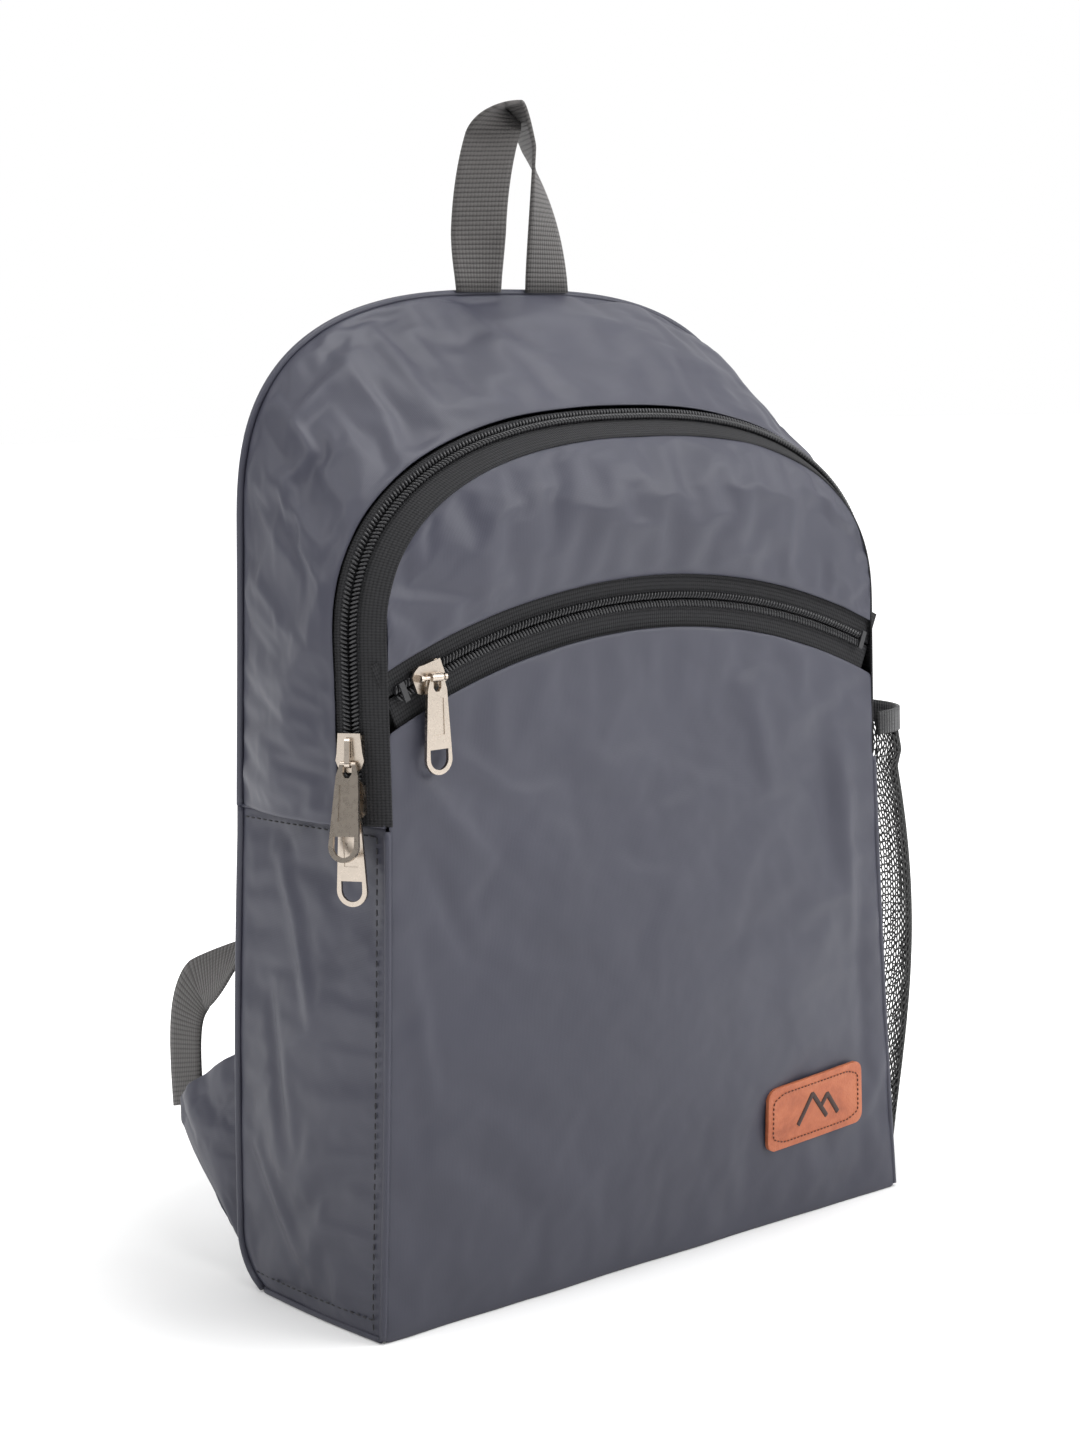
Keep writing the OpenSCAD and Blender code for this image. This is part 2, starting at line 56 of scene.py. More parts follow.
ARC_Z, ARC_R, ARC_DEG = -46.0, 342.0, 23.6
POCKET_R, UPPER_R = ARC_R - 12, ARC_R + 10.5
COIL_W, COIL_H, COIL_GAP, COIL_PITCH = 3.1, 2.8, 1.2, 1.75
CHAIN_W, CHAIN_H = FRONT_W + TAPE * 0.5, FRONT_H + TAPE * 0.5
CHAIN_Y = FRONT_Y + TAPE * math.cos(math.radians(30))
POCKET_Y = FRONT_Y + 2
WEB_W, HAUL_TOP = 25.0, 517.0
STRAP_W, STRAP_TOP, STRAP_END, STRAP_T = 62.0, 404.0, 166.0, 10.7
WING_X, TIP_Y = -BACK_W + 3, BACK_Y + 58
MESH_FOOT, MESH_TOP, MESH_BULGE = 10.0, 222.0, 48.0
YOKE_LOW, YOKE_HIGH, YOKE_W = 398.3, 417.7, 87.5
PATCH_X, PATCH_Z, PATCH_TILT = 94.0, 53.0, 2.0
PATCH_W, PATCH_H, PATCH_R = 33.0, 15.0, 5.0
SIDES = ((-1, "left"), (1, "right"))


def sind(a):
    return math.sin(math.radians(a))


def cosd(a):
    return math.cos(math.radians(a))


def mix(a, b, t):
    return a + (b - a) * t


def clamp(t, lo=0.0, hi=1.0):
    return min(hi, max(lo, t))


def smooth(t):
    t = clamp(t)
    return t * t * (3 - 2 * t)


def back_at(z):
    """y of the back, which leans forward towards the top and is rounded at the base."""
    y = BACK_Y - LEAN * (1 - cosd(180 * clamp((z - LEAN_FROM) / LEAN_OVER))) / 2
    if z < BASE_R:
        y -= BASE_R - math.sqrt(max(0, BASE_R**2 - (BASE_R - z) ** 2))
    return y


def front_w(z):
    return FRONT_W + (BASE_W - FRONT_W) * clamp((FRONT_TAPER - z) / FRONT_TAPER) ** 1.5


def back_w(z):
    return mix(BASE_W - 1, BACK_W, clamp(z / BACK_TAPER))


def arch(w, h, k, m, foot, s):
    """x, z and outward normal of the half-arch at s, 0 at the crown and 1 at the foot."""
    a, g, q = abs(s), (-1 if s < 0 else 1), 2 / m
    if a > 0.6:
        return g * w, mix(k, foot, (a - 0.6) / 0.4), g, 0.0
    si, co = max(0, sind(150 * a)), max(0, cosd(150 * a))
    nx, nz = si ** (2 - q) / w, co ** (2 - q) / (h - k)
    n = math.hypot(nx, nz)
    return g * w * si**q, k + (h - k) * co**q, g * nx / n, nz / n


def arch_z(w, h, k, m, x):
    return k + (h - k) * max(0, 1 - (abs(x) / w) ** m) ** (1 / m)


def arch_w(w, h, k, m, z):
    return w if z < k else w * max(0, 1 - ((z - k) / (h - k)) ** m) ** (1 / m)


def chain_arch(s):
    return arch(CHAIN_W, CHAIN_H, SPRING_F, SQ_F, SEAM, s)


def back_arch(s):
    return arch(BACK_W, BACK_H, SPRING_B, SQ_B, SEAM, s)


def band(s, t, n):
    """A point of the main zipper's band: t across towards the front seam, n out of the bag.

    The band slopes 30 degrees, so its offsets are in the ratio of cosd(30) and 0.5."""
    x, z, ex, ez = chain_arch(s)
    e = -t * 0.5 + n * cosd(30)
    return x + ex * e, CHAIN_Y - t * cosd(30) - n * 0.5, z + ez * e


def front_top(x):
    return arch_z(FRONT_W, FRONT_H, SPRING_F, SQ_F, x)


def arc_z(x, rho):
    return ARC_Z + math.sqrt(rho**2 - x**2)


def pocket_face(x, z):
    """y of the full front of the pocket, before any folds."""
    u = min(1, abs(x) / front_w(z))
    v = clamp(z / arc_z(min(FRONT_W, abs(x)), POCKET_R + 1))
    return FRONT_Y - (1 - u * u) * (1.5 * v + 9 * max(0, sind(180 * v**0.75)) ** 1.5)


def fuzz(x, y, z, scale, seed=0.0):
    return noise.noise(Vector((x / scale + seed, y / scale - seed, z / scale + 2 * seed)))


# ---- mesh helpers ----
def link(name, verts, faces, uvs=None):
    me = bpy.data.meshes.new(name)
    me.from_pydata([tuple(c * 0.001 for c in v) for v in verts], [], faces)
    if uvs is not None:
        layer = me.uv_layers.new(name="metres")
        for loop in me.loops:
            layer.data[loop.index].uv = uvs[loop.vertex_index]
    me.validate()
    me.update()
    ob = bpy.data.objects.new(name, me)
    bpy.context.scene.collection.objects.link(ob)
    me.polygons.foreach_set("use_smooth", [True] * len(me.polygons))
    return ob


def grid(name, f, nu, nv, out):
    """Quad grid f(u, v); its normals are turned to agree with out(point). UVs are in metres."""
    pts = [[np.array(f(i / nu, j / nv), float) for i in range(nu + 1)] for j in range(nv + 1)]
    mid = pts[nv // 2]
    lu = np.cumsum([0] + [np.linalg.norm(mid[i + 1] - mid[i]) for i in range(nu)]) / 1000
    col = [r[nu // 2] for r in pts]
    lv = np.cumsum([0] + [np.linalg.norm(col[j + 1] - col[j]) for j in range(nv)]) / 1000
    verts = [p for r in pts for p in r]
    uvs = [(lu[i], lv[j]) for j in range(nv + 1) for i in range(nu + 1)]
    n = nu + 1
    faces = [(j * n + i, j * n + i + 1, (j + 1) * n + i + 1, (j + 1) * n + i)
             for j in range(nv) for i in range(nu)]
    a, b, c = pts[nv // 2][nu // 2], pts[nv // 2][nu // 2 + 1], pts[nv // 2 + 1][nu // 2]
    if np.dot(np.cross(b - a, c - a), np.array(out(a))) < 0:
        faces = [tuple(reversed(q)) for q in faces]
    ob = link(name, verts, faces, uvs)
    ob["nu"], ob["nv"] = nu, nv
    return ob


def solid(ob, mm, offset=-1.0):
    m = ob.modifiers.new("thick", "SOLIDIFY")
    m.thickness, m.offset, m.use_rim = mm * 0.001, offset, True
    return ob


def subdiv(ob):
    m = ob.modifiers.new("sub", "SUBSURF")
    m.levels = m.render_levels = 1
    return ob


def apply_all(ob):
    deps = bpy.context.evaluated_depsgraph_get()
    me = bpy.data.meshes.new_from_object(ob.evaluated_get(deps), preserve_all_data_layers=True,
                                         depsgraph=deps)
    ob.modifiers.clear()
    ob.data = me
    return ob


def ribbon(name, centre, width, normal, thick, across=6):
    """Flat webbing: centre line, half-width vectors and unit normals, closed with rounded edges."""
    n = len(centre)
    prof = [(-1 + 2 * i / across, 0.5) for i in range(across + 1)]
    prof += [(1.0, 0.0)] + [(1 - 2 * i / across, -0.5) for i in range(across + 1)] + [(-1.0, 0.0)]
    prof = [((x * 0.985 if abs(y) == 0.5 and abs(x) == 1 else x), y) for x, y in prof]
    verts, uvs, dist = [], [], 0.0
    for i in range(n):
        if i:
            dist += float(np.linalg.norm(centre[i] - centre[i - 1]))
        hw = float(np.linalg.norm(width[i]))
        for x, y in prof:
            verts.append(centre[i] + width[i] * x + normal[i] * thick * y)
            uvs.append((x * hw / 1000, dist / 1000))
    p = len(prof)
    faces = [(i * p + k, i * p + (k + 1) % p, (i + 1) * p + (k + 1) % p, (i + 1) * p + k)
             for i in range(n - 1) for k in range(p)]
    faces += [tuple(range(p)), tuple(reversed(range((n - 1) * p, n * p)))]
    ob = link(name, verts, faces, uvs)
    bpy.context.view_layer.update()
    fix_normals(ob)
    return ob


def ribbon_normals(centre, width):
    """Unit normals of a ribbon, from its half-width vectors and the run of its centre line."""
    last, normals = len(centre) - 1, []
    for k in range(last + 1):
        n = np.cross(width[k], centre[min(last, k + 1)] - centre[max(0, k - 1)])
        normals.append(n / np.linalg.norm(n))
    return normals


def fix_normals(ob):
    bm = bmesh.new()
    bm.from_mesh(ob.data)
    bmesh.ops.recalc_face_normals(bm, faces=bm.faces)
    bm.to_mesh(ob.data)
    bm.free()


def tube(name, pts, radius, sides=8, flat=1.0, up=(0.0, -1.0, 0.02)):
    """Closed tube along points; flat squeezes it along the up vector."""
    verts, uvs, dist = [], [], 0.0
    n = len(pts)
    for i in range(n):
        t = pts[min(n - 1, i + 1)] - pts[max(0, i - 1)]
        t = t / (np.linalg.norm(t) + 1e-9)
        a = np.cross(t, np.array(up, float))
        a = a / (np.linalg.norm(a) + 1e-9)
        b = np.cross(a, t)
        if i:
            dist += float(np.linalg.norm(pts[i] - pts[i - 1]))
        for k in range(sides):
            q = 2 * math.pi * k / sides
            verts.append(pts[i] + a * math.cos(q) * radius + b * math.sin(q) * radius * flat)
            uvs.append((k / sides * 0.006, dist / 1000))
    faces = [(i * sides + k, i * sides + (k + 1) % sides, (i + 1) * sides + (k + 1) % sides,
              (i + 1) * sides + k) for i in range(n - 1) for k in range(sides)]
    faces += [tuple(range(sides)), tuple(reversed(range((n - 1) * sides, n * sides)))]
    ob = link(name, verts, faces, uvs)
    fix_normals(ob)
    return ob


def resample(pts, step):
    """Points spaced evenly along a line."""
    pts = [np.array(p, float) for p in pts]
    d = [0.0]
    for a, b in zip(pts, pts[1:]):
        d.append(d[-1] + float(np.linalg.norm(b - a)))
    n = max(2, int(round(d[-1] / step)))
    out = []
    for k in range(n + 1):
        t = d[-1] * k / n
        i = min(len(d) - 2, max(0, int(np.searchsorted(d, t)) - 1))
        f = (t - d[i]) / max(1e-9, d[i + 1] - d[i])
        out.append(pts[i] * (1 - f) + pts[i + 1] * f)
    return out


def beads(name, items, sides=6, rings=4):
    """Many small ellipsoids in one mesh: items are (centre, axis a, axis b, axis c)."""
    verts, faces = [], []
    for c, a, b, d in items:
        base = len(verts)
        verts.append(c - a)
        for r in range(1, rings):
            th = math.pi * r / rings
            for k in range(sides):
                q = 2 * math.pi * k / sides
                verts.append(c - a * math.cos(th) + (b * math.cos(q) + d * math.sin(q))
                             * math.sin(th) ** 0.7)
        verts.append(c + a)
        for k in range(sides):
            k2 = (k + 1) % sides
            faces.append((base, base + 1 + k2, base + 1 + k))
            for r in range(rings - 2):
                p, q = base + 1 + r * sides, base + 1 + (r + 1) * sides
                faces.append((p + k, p + k2, q + k2, q + k))
            top = base + 1 + (rings - 2) * sides
            faces.append((top + k, top + k2, len(verts) - 1))
    ob = link(name, verts, faces)
    fix_normals(ob)
    return ob


def stitches(name, pts, out, body, pitch=4.2, length=3.0, radius=0.42, sink=0.0):
    """A line of dashes along points; out is the outward normal at each dash."""
    line = resample(pts, pitch)
    items = []
    for a, b in zip(line, line[1:]):
        t = (b - a) / (np.linalg.norm(b - a) + 1e-9)
        c = (a + b) / 2
        n = np.array(out(c), float)
        n = n / (np.linalg.norm(n) + 1e-9)
        s = np.cross(t, n)
        items.append((c + n * (radius * 0.4 - sink), t * length / 2, s * radius, n * radius))
    ob = beads(name, items, sides=6, rings=4)
    finish(ob, body, "zipper_tape", M["thread"])
    return ob


# ---- materials ----
def principled(name, color, rough, **kw):
    mat = bpy.data.materials.new(name)
    mat.use_nodes = True
    b = mat.node_tree.nodes["Principled BSDF"]
    b.inputs["Base Color"].default_value = (*color, 1)
    b.inputs["Roughness"].default_value = rough
    for k, v in kw.items():
        b.inputs[k.replace("_", " ")].default_value = v
    return mat, mat.node_tree, b


def math_node(nt, op, a, b=None):
    n = nt.nodes.new("ShaderNodeMath")
    n.operation = op
    for i, v in enumerate((a, b)):
        if v is None:
            continue
        if isinstance(v, (int, float)):
            n.inputs[i].default_value = v
        else:
            nt.links.new(v, n.inputs[i])
    return n.outputs[0]


def coords(nt, uv):
    n = nt.nodes.new("ShaderNodeUVMap") if uv else nt.nodes.new("ShaderNodeTexCoord")
    if uv:
        n.uv_map = "metres"
        return n.outputs["UV"]
    return n.outputs["Object"]


def noise_tex(nt, vec, scale, detail=3.0, rough=0.5, dist=0.0):
    n = nt.nodes.new("ShaderNodeTexNoise")
    n.inputs["Scale"].default_value = scale
    n.inputs["Detail"].default_value = detail
    n.inputs["Roughness"].default_value = rough
    n.inputs["Distortion"].default_value = dist
    nt.links.new(vec, n.inputs["Vector"])
    return n.outputs["Fac"]


def bump(nt, b, height, strength, dist, chain=None):
    n = nt.nodes.new("ShaderNodeBump")
    n.inputs["Strength"].default_value = strength
    n.inputs["Distance"].default_value = dist
    nt.links.new(height, n.inputs["Height"])
    if chain is not None:
        nt.links.new(chain, n.inputs["Normal"])
    nt.links.new(n.outputs["Normal"], b.inputs["Normal"])
    return n.outputs["Normal"]


def ramp(nt, fac, stops):
    n = nt.nodes.new("ShaderNodeValToRGB")
    e = n.color_ramp.elements
    while len(e) < len(stops):
        e.new(0.5)
    for el, (p, c) in zip(e, stops):
        el.position, el.color = p, (*c, 1)
    nt.links.new(fac, n.inputs["Fac"])
    return n.outputs["Color"]


def ribs(nt, uv, axis, pitch, sharp=1.0):
    """|sin| ribs of a pitch in metres along a UV axis."""
    s = nt.nodes.new("ShaderNodeSeparateXYZ")
    nt.links.new(uv, s.inputs[0])
    v = math_node(nt, "MULTIPLY", s.outputs[axis], math.pi / pitch)
    v = math_node(nt, "ABSOLUTE", math_node(nt, "SINE", v))
    return math_node(nt, "POWER", v, sharp)


def shell_fabric():
    mat, nt, b = principled("coated_polyester", (0.044, 0.045, 0.063), 0.42)
    b.inputs["Specular IOR Level"].default_value = 0.42
    uv, obj = coords(nt, True), coords(nt, False)
    big = noise_tex(nt, obj, 9.0, 4.0, 0.55, 0.6)
    col = ramp(nt, big, [(0.3, (0.038, 0.039, 0.056)), (0.7, (0.047, 0.048, 0.068))])
    nt.links.new(col, b.inputs["Base Color"])
    r = math_node(nt, "ADD", math_node(nt, "MULTIPLY", noise_tex(nt, obj, 30.0, 5.0), 0.12), 0.43)
    nt.links.new(r, b.inputs["Roughness"])
    weave = math_node(nt, "ADD", ribs(nt, uv, 0, 0.0007), ribs(nt, uv, 1, 0.0007))
    n1 = bump(nt, b, weave, 0.12, 0.0002)
    n2 = bump(nt, b, noise_tex(nt, obj, 55.0, 4.0, 0.6, 0.8), 0.10, 0.0012, n1)
    bump(nt, b, noise_tex(nt, obj, 16.0, 2.0, 0.5, 1.2), 0.10, 0.004, n2)
    return mat


def webbing_mat(name, a, c, rough=0.75):
    """Ribbed webbing, with painted shade in its grooves: from colour a, darkened to half, in the
    grooves to colour c on the ribs.
    """
    mat, nt, b = principled(name, a, rough)
    b.inputs["Sheen Weight"].default_value = 0.12
    b.inputs["Sheen Roughness"].default_value = 0.5
    uv = coords(nt, True)
    row = ribs(nt, uv, 1, 0.0021, 0.8)
    warp = ribs(nt, uv, 0, 0.0016, 0.7)
    h = math_node(nt, "ADD", row, math_node(nt, "MULTIPLY", warp, 0.35))
    painted_groove_shade = math_node(nt, "MULTIPLY", h, 0.75)
    # painted shade: the ramp makes the grooves darker than the ribs, following the rib height
    nt.links.new(ramp(nt, painted_groove_shade, [(0.05, tuple(x * 0.5 for x in a)), (0.85, c)]),
                 b.inputs["Base Color"])
    bump(nt, b, h, 0.7, 0.0007)
    return mat


def tape_mat():
    mat, nt, b = principled("zipper_tape", (0.02, 0.02, 0.021), 0.85)
    b.inputs["Specular IOR Level"].default_value = 0.2
    uv = coords(nt, True)
    h = math_node(nt, "ADD", ribs(nt, uv, 0, 0.0012, 0.8), ribs(nt, uv, 1, 0.0018, 0.8))
    # painted shade: the ramp makes the tape's grooves darker than its ribs, following the rib height
    nt.links.new(ramp(nt, math_node(nt, "MULTIPLY", h, 0.5),
                      [(0.1, (0.010, 0.010, 0.011)), (0.9, (0.030, 0.030, 0.032))]),
                 b.inputs["Base Color"])
    bump(nt, b, h, 0.6, 0.0004)
    return mat


def plain(name, color, rough, scale, strength, dist):
    """One colour with a quarter's variation, and a bump from the same noise."""
    mat, nt, b = principled(name, color, rough)
    f = noise_tex(nt, coords(nt, False), scale, 5.0, 0.6)
    nt.links.new(ramp(nt, f, [(0.3, tuple(x * 0.75 for x in color)),
                              (0.7, tuple(min(1, x * 1.25) for x in color))]),
                 b.inputs["Base Color"])
    bump(nt, b, f, strength, dist)
    return mat


def nickel_mat():
    mat, nt, b = principled("polished_nickel", (0.48, 0.42, 0.36), 0.2, Metallic=1.0)
    obj = coords(nt, False)
    f = noise_tex(nt, obj, 420.0, 4.0, 0.6)
    r = math_node(nt, "ADD", math_node(nt, "MULTIPLY", f, 0.2), 0.18)
    nt.links.new(r, b.inputs["Roughness"])
    bump(nt, b, noise_tex(nt, obj, 160.0, 2.0), 0.08, 0.0006)
    return mat


def leather_mat():
    mat, nt, b = principled("tan_leather", (0.40, 0.115, 0.05), 0.5)
    b.inputs["Specular IOR Level"].default_value = 0.4
    obj = coords(nt, False)
    v = nt.nodes.new("ShaderNodeTexVoronoi")
    v.inputs["Scale"].default_value = 900.0
    nt.links.new(obj, v.inputs["Vector"])
    f = noise_tex(nt, obj, 60.0, 6.0, 0.65, 0.4)
    nt.links.new(ramp(nt, f, [(0.28, (0.26, 0.065, 0.028)), (0.5, (0.40, 0.112, 0.048)),
                              (0.75, (0.50, 0.165, 0.075))]), b.inputs["Base Color"])
    n1 = bump(nt, b, v.outputs["Distance"], 0.35, 0.0003)
    bump(nt, b, f, 0.2, 0.0012, n1)
    return mat


M = {
    "shell": shell_fabric(),
    "webbing": webbing_mat("webbing_grey", (0.040, 0.037, 0.036), (0.078, 0.073, 0.071)),
    "tape": tape_mat(),
    "coil": plain("coil_nylon", (0.022, 0.022, 0.024), 0.3, 300.0, 0.1, 0.0002),
    "thread": plain("thread_dark", (0.022, 0.022, 0.026), 0.7, 900.0, 0.2, 0.0002),
    "tan_thread": plain("thread_brown", (0.10, 0.028, 0.014), 0.7, 900.0, 0.2, 0.0002),
    "nickel": nickel_mat(),
    "leather": leather_mat(),
    "mesh": plain("mesh_knit", (0.012, 0.012, 0.012), 0.6, 700.0, 0.2, 0.0003),
    "elastic": webbing_mat("elastic_black", (0.012, 0.012, 0.013), (0.03, 0.03, 0.032), 0.65),
    "plastic": plain("black_plastic", (0.014, 0.014, 0.015), 0.38, 500.0, 0.1, 0.0002),
    "lining": plain("lining_black", (0.02, 0.02, 0.022), 0.7, 200.0, 0.2, 0.0006),
    "foam": plain("foam_pale", (0.7, 0.7, 0.66), 0.9, 600.0, 0.3, 0.0004),
    # the debossed mark's dark brown is partly the pressed leather's own tone and partly painted shade
    # of the groove
    "debossed": plain("debossed_mark", (0.035, 0.014, 0.010), 0.6, 500.0, 0.2, 0.0003),
}


def finish(ob, body, slot, mat, *nodes):
    """Material, body and slot of a piece, and the CAD nodes that it replaces; slot is not used."""
    ob.data.materials.clear()
    ob.data.materials.append(mat)
    if body:
        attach(ob, body)
    if nodes:
        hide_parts(*nodes)
    return ob


# ---- cloth ----
FRAMES, STIFF, OUTWARD = 22, 8.0, 0.0022


def settle(ob, pinned, slack=0.02, cap=6.0, gravity=0.3, away=None):
    """Lets a panel settle between its seams: pinned(u, v) says which grid points the seam holds.

    No point moves more than cap millimetres, or more than OUTWARD metres towards away."""
    nu, nv = ob["nu"], ob["nv"]
    rest = np.array([v.co[:] for v in ob.data.vertices])
    g = ob.vertex_groups.new(name="seam")
    for j in range(nv + 1):
        for i in range(nu + 1):
            w = pinned(i / nu, j / nv)
            if w > 0:
                g.add([j * (nu + 1) + i], w, "REPLACE")
    for v in ob.data.vertices:
        p = v.co * 1000
        v.co += v.normal * 0.0004 * fuzz(*p, 22.0, 3.1)
    m = ob.modifiers.new("Cloth", "CLOTH")
    s = m.settings
    s.quality, s.mass, s.time_scale = 6, 0.0006, 1.0
    s.tension_stiffness = s.compression_stiffness = STIFF
    s.shear_stiffness = STIFF * 0.5
    s.bending_stiffness = 0.08
    s.tension_damping = s.compression_damping = s.shear_damping = 2.0
    s.bending_damping = 0.3
    s.air_damping = 2.0
    s.vertex_group_mass = "seam"
    s.pin_stiffness = 1.0
    s.shrink_min = -slack
    s.effector_weights.gravity = gravity
    m.collision_settings.use_collision = False
    m.point_cache.frame_start, m.point_cache.frame_end = 1, FRAMES
    sc = bpy.context.scene
    for fr in range(1, FRAMES + 1):
        sc.frame_set(fr)
    deps = bpy.context.evaluated_depsgraph_get()
    ev = ob.evaluated_get(deps)
    co = np.array([v.co[:] for v in ev.data.vertices])
    ob.modifiers.remove(m)
    d = co - rest
    ln = np.linalg.norm(d, axis=1, keepdims=True)
    lim = cap * 0.001
    d = d * np.minimum(1.0, lim / np.maximum(ln, 1e-9))
    if away is not None:
        a = np.array(away, float)
        dot = (d @ a)[:, None]
        d = np.where(dot > OUTWARD, d - a * (dot - OUTWARD), d)
    ok = np.isfinite(d).all(axis=1)
    d[~ok] = 0
    ob.data.vertices.foreach_set("co", (rest + d).ravel())
    ob.data.update()
    sc.frame_set(1)
    return ob


def crease(x, z, ax, az, bx, bz, width, depth):
    """Height of a soft fold along the segment a-b, tapering at its ends."""
    dx, dz = bx - ax, bz - az
    ln = math.hypot(dx, dz)
    t = ((x - ax) * dx + (z - az) * dz) / ln**2
    if t < -0.1 or t > 1.1:
        return 0.0
    off = ((x - ax) * dz - (z - az) * dx) / ln
    return depth * math.exp(-((off / width) ** 2)) * sind(180 * clamp(t)) ** 0.8


def ripple(along, dist, pitch, depth, reach, seed):
    """Puckers that a seam pulls into the cloth beside it."""
    return depth * math.exp(-dist / reach) * (
        noise.noise(Vector((along / pitch, seed, dist / 60))) * 1.3)


# ---- shell panels ----
# Folds of the pocket panel: the x and z of both ends, then width and depth.
FOLDS = ((-134, 238, -92, 190, 5.0, 1.3), (-132, 214, -104, 150, 6.0, -1.1),
         (-120, 246, -70, 214, 5.5, 1.0), (118, 236, 128, 120, 7.0, 1.5),
         (104, 240, 110, 150, 8.0, -1.3), (128, 205, 134, 60, 6.0, -1.2),
         (-142, 190, -128, 90, 6.0, 0.9), (60, 262, 70, 200, 9.0, 1.1))


def pocket_panel(u, v):
    """The front panel below the pocket zipper, u from left to right and v up."""
    u = 2 * u - 1
    z = v * arc_z(u * FRONT_W, POCKET_R)
    x = u * (front_w(z) - 0.3)
    y = pocket_face(x, z)
    edge = min(1, (1 - abs(u)) / 0.12) * smooth((1 - v) / 0.06)
    d = 1.7 * sum(crease(x, z, *c) for c in FOLDS) * edge
    side = (1 - abs(u)) * FRONT_W
    d += ripple(z, side, 14.0, 1.5, 16.0, 1.0 if u < 0 else 5.0) * smooth(side / 5)
    top = (1 - v) * 285
    d += ripple(x, top, 17.0, 1.8, 18.0, 9.0) * smooth(top / 5)
    d += 0.8 * fuzz(x, 0, z, 45.0) * edge
    return x, y - d, z


def upper_panel(u, v):
    """The front panel between the two zippers."""
    u = 2 * u - 1
    x = sind(90 * u) * (FRONT_W - 1.4)
    z0, z1 = arc_z(x, UPPER_R), front_top(x) - 0.2
    z = mix(z0, z1, v)
    q = x / FRONT_W
    y = FRONT_Y - (1 - q * q) * (2 * (1 - v) + 10 * sind(180 * v) ** 0.8)
    edge = sind(180 * clamp(v)) ** 0.5
    d = 0.0
    for k, (c, w, a) in enumerate(((-92, 9, 1.6), (-60, 8, -1.4), (-28, 10, 1.5), (14, 11, -1.2),
                                   (52, 10, 1.3), (92, 9, -1.2), (118, 8, 1.4))):
        lean_x = c + (v - 0.5) * (10 - 5 * k % 9)
        d += a * math.exp(-(((x - lean_x) / w) ** 2)) * sind(180 * v) ** 0.6
    top = (1 - v) * (z1 - z0)
    d += ripple(x, top, 12.0, 1.6, 12.0, 13.0) * smooth(top / 3)
    d += ripple(x, v * (z1 - z0), 13.0, 1.6, 12.0, 17.0) * smooth(v * (z1 - z0) / 3)
    return x, y - d * edge, z


def side_at(t, z):
    """x and y of the side panel, t from the front seam to the back seam, as on the left."""
    w = mix(front_w(z), back_w(z), t)
    w += 4 * sind(180 * t) * sind(180 * clamp(z / 250 + 0.1))
    return -w, mix(FRONT_Y + 2.0, back_at(z) - 2.0, t)


def side_panel(g):
    def f(u, v):
        z = (SEAM - 0.2) * v
        x, y = side_at(u, z)
        e = min(smooth(u / 0.1), smooth((1 - u) / 0.1)) * smooth((1 - v) / 0.05)
        d = ripple(z, u * 100, 15.0, 1.6, 14.0, 21.0 + g) + ripple(
            z, (1 - u) * 100, 13.0, 1.8, 14.0, 25.0 + g)
        d += ripple(u * 100, (1 - v) * SEAM, 16.0, 1.6, 18.0, 29.0 + g)
        d += crease(y, z, 20, 200, -10, 120, 6.0, 1.4) + crease(y, z, 30, 150, 8, 60, 7.0, -1.4)
        d += crease(y, z, 40, 70, 0, 20, 6.0, 1.3) + 0.9 * fuzz(x * g, y, z, 40.0)
        return g * (-(x - d * e)), y, z

    return f


def gusset(u, v):
    """The band over the top, u along the arch and v from the zipper to the back seam."""
    s = 2 * u - 1
    a = band(s, -7.2, 1.9)
    _, _, ex, ez = chain_arch(s)
    bx, bz, _, _ = back_arch(s)
    y = back_at(bz) - 2.0
    swell = 5.5 * sind(180 * v)
    dist_f, dist_b = v * 75, (1 - v) * 75
    along = s * 560
    e = smooth(v / 0.08) * smooth((1 - v) / 0.06)
    swell += e * (ripple(along, dist_b, 15.0, 2.2, 16.0, 33.0)
                  + ripple(along, dist_f, 19.0, 1.4, 12.0, 37.0)
                  + 1.1 * noise.noise(Vector((along / 50, v * 2.0, 41.0))))
    # a soft crescent fold low on the left shoulder, and a few dents along the top
    q = ((s + 0.43) / 0.07) ** 2 + ((v - 0.42 - 3.0 * (s + 0.43) ** 2) / 0.10) ** 2
    swell -= 2.4 * math.exp(-q)
    q = ((s + 0.36) / 0.06) ** 2 + ((v - 0.66) / 0.08) ** 2
    swell += 1.8 * math.exp(-q)
    for c, w, h in ((-0.52, 0.03, 1.6), (-0.25, 0.04, -1.4), (0.05, 0.05, 1.2), (0.3, 0.04, -1.5)):
        swell += h * math.exp(-(((s - c - 0.05 * v) / w) ** 2)) * sind(180 * v) ** 0.7
    return mix(a[0], bx, v) + ex * swell, mix(a[1], y, v), mix(a[2], bz, v) + ez * swell


def back_sheet(u, v, inset=0.0, off=0.0, foot=0.0):
    """The back, set in from its edge by inset and moved by off along y."""
    u = 1 - 2 * u
    z = mix(foot, BACK_H - inset - 0.4, 1 - (1 - v) ** 1.6)
    w = back_w(z) - inset if z < SPRING_B else arch_w(
        BACK_W - inset, BACK_H - inset, SPRING_B, SQ_B, z)
    x = u * w
    return x, back_at(z) + off, z


def back_quilt(u, v):
    """The back panel, padded between two upright and several level rows of quilting."""
    x, y, z = back_sheet(u, v)
    q = math.exp(-((abs(x) - 62) / 3.5) ** 2) + math.exp(-(((z - 150) % 110 - 55) / 3.5) ** 2)
    pad = 4.0 * smooth((1 - abs(2 * u - 1)) / 0.16) * smooth(v / 0.12) * smooth((1 - v) / 0.2)
    return x, y + pad * (1 - 0.55 * min(1, q)), z


def flat(w, l):
    """A flat size in metres, from millimetres."""
    return (w / 1000, l / 1000)


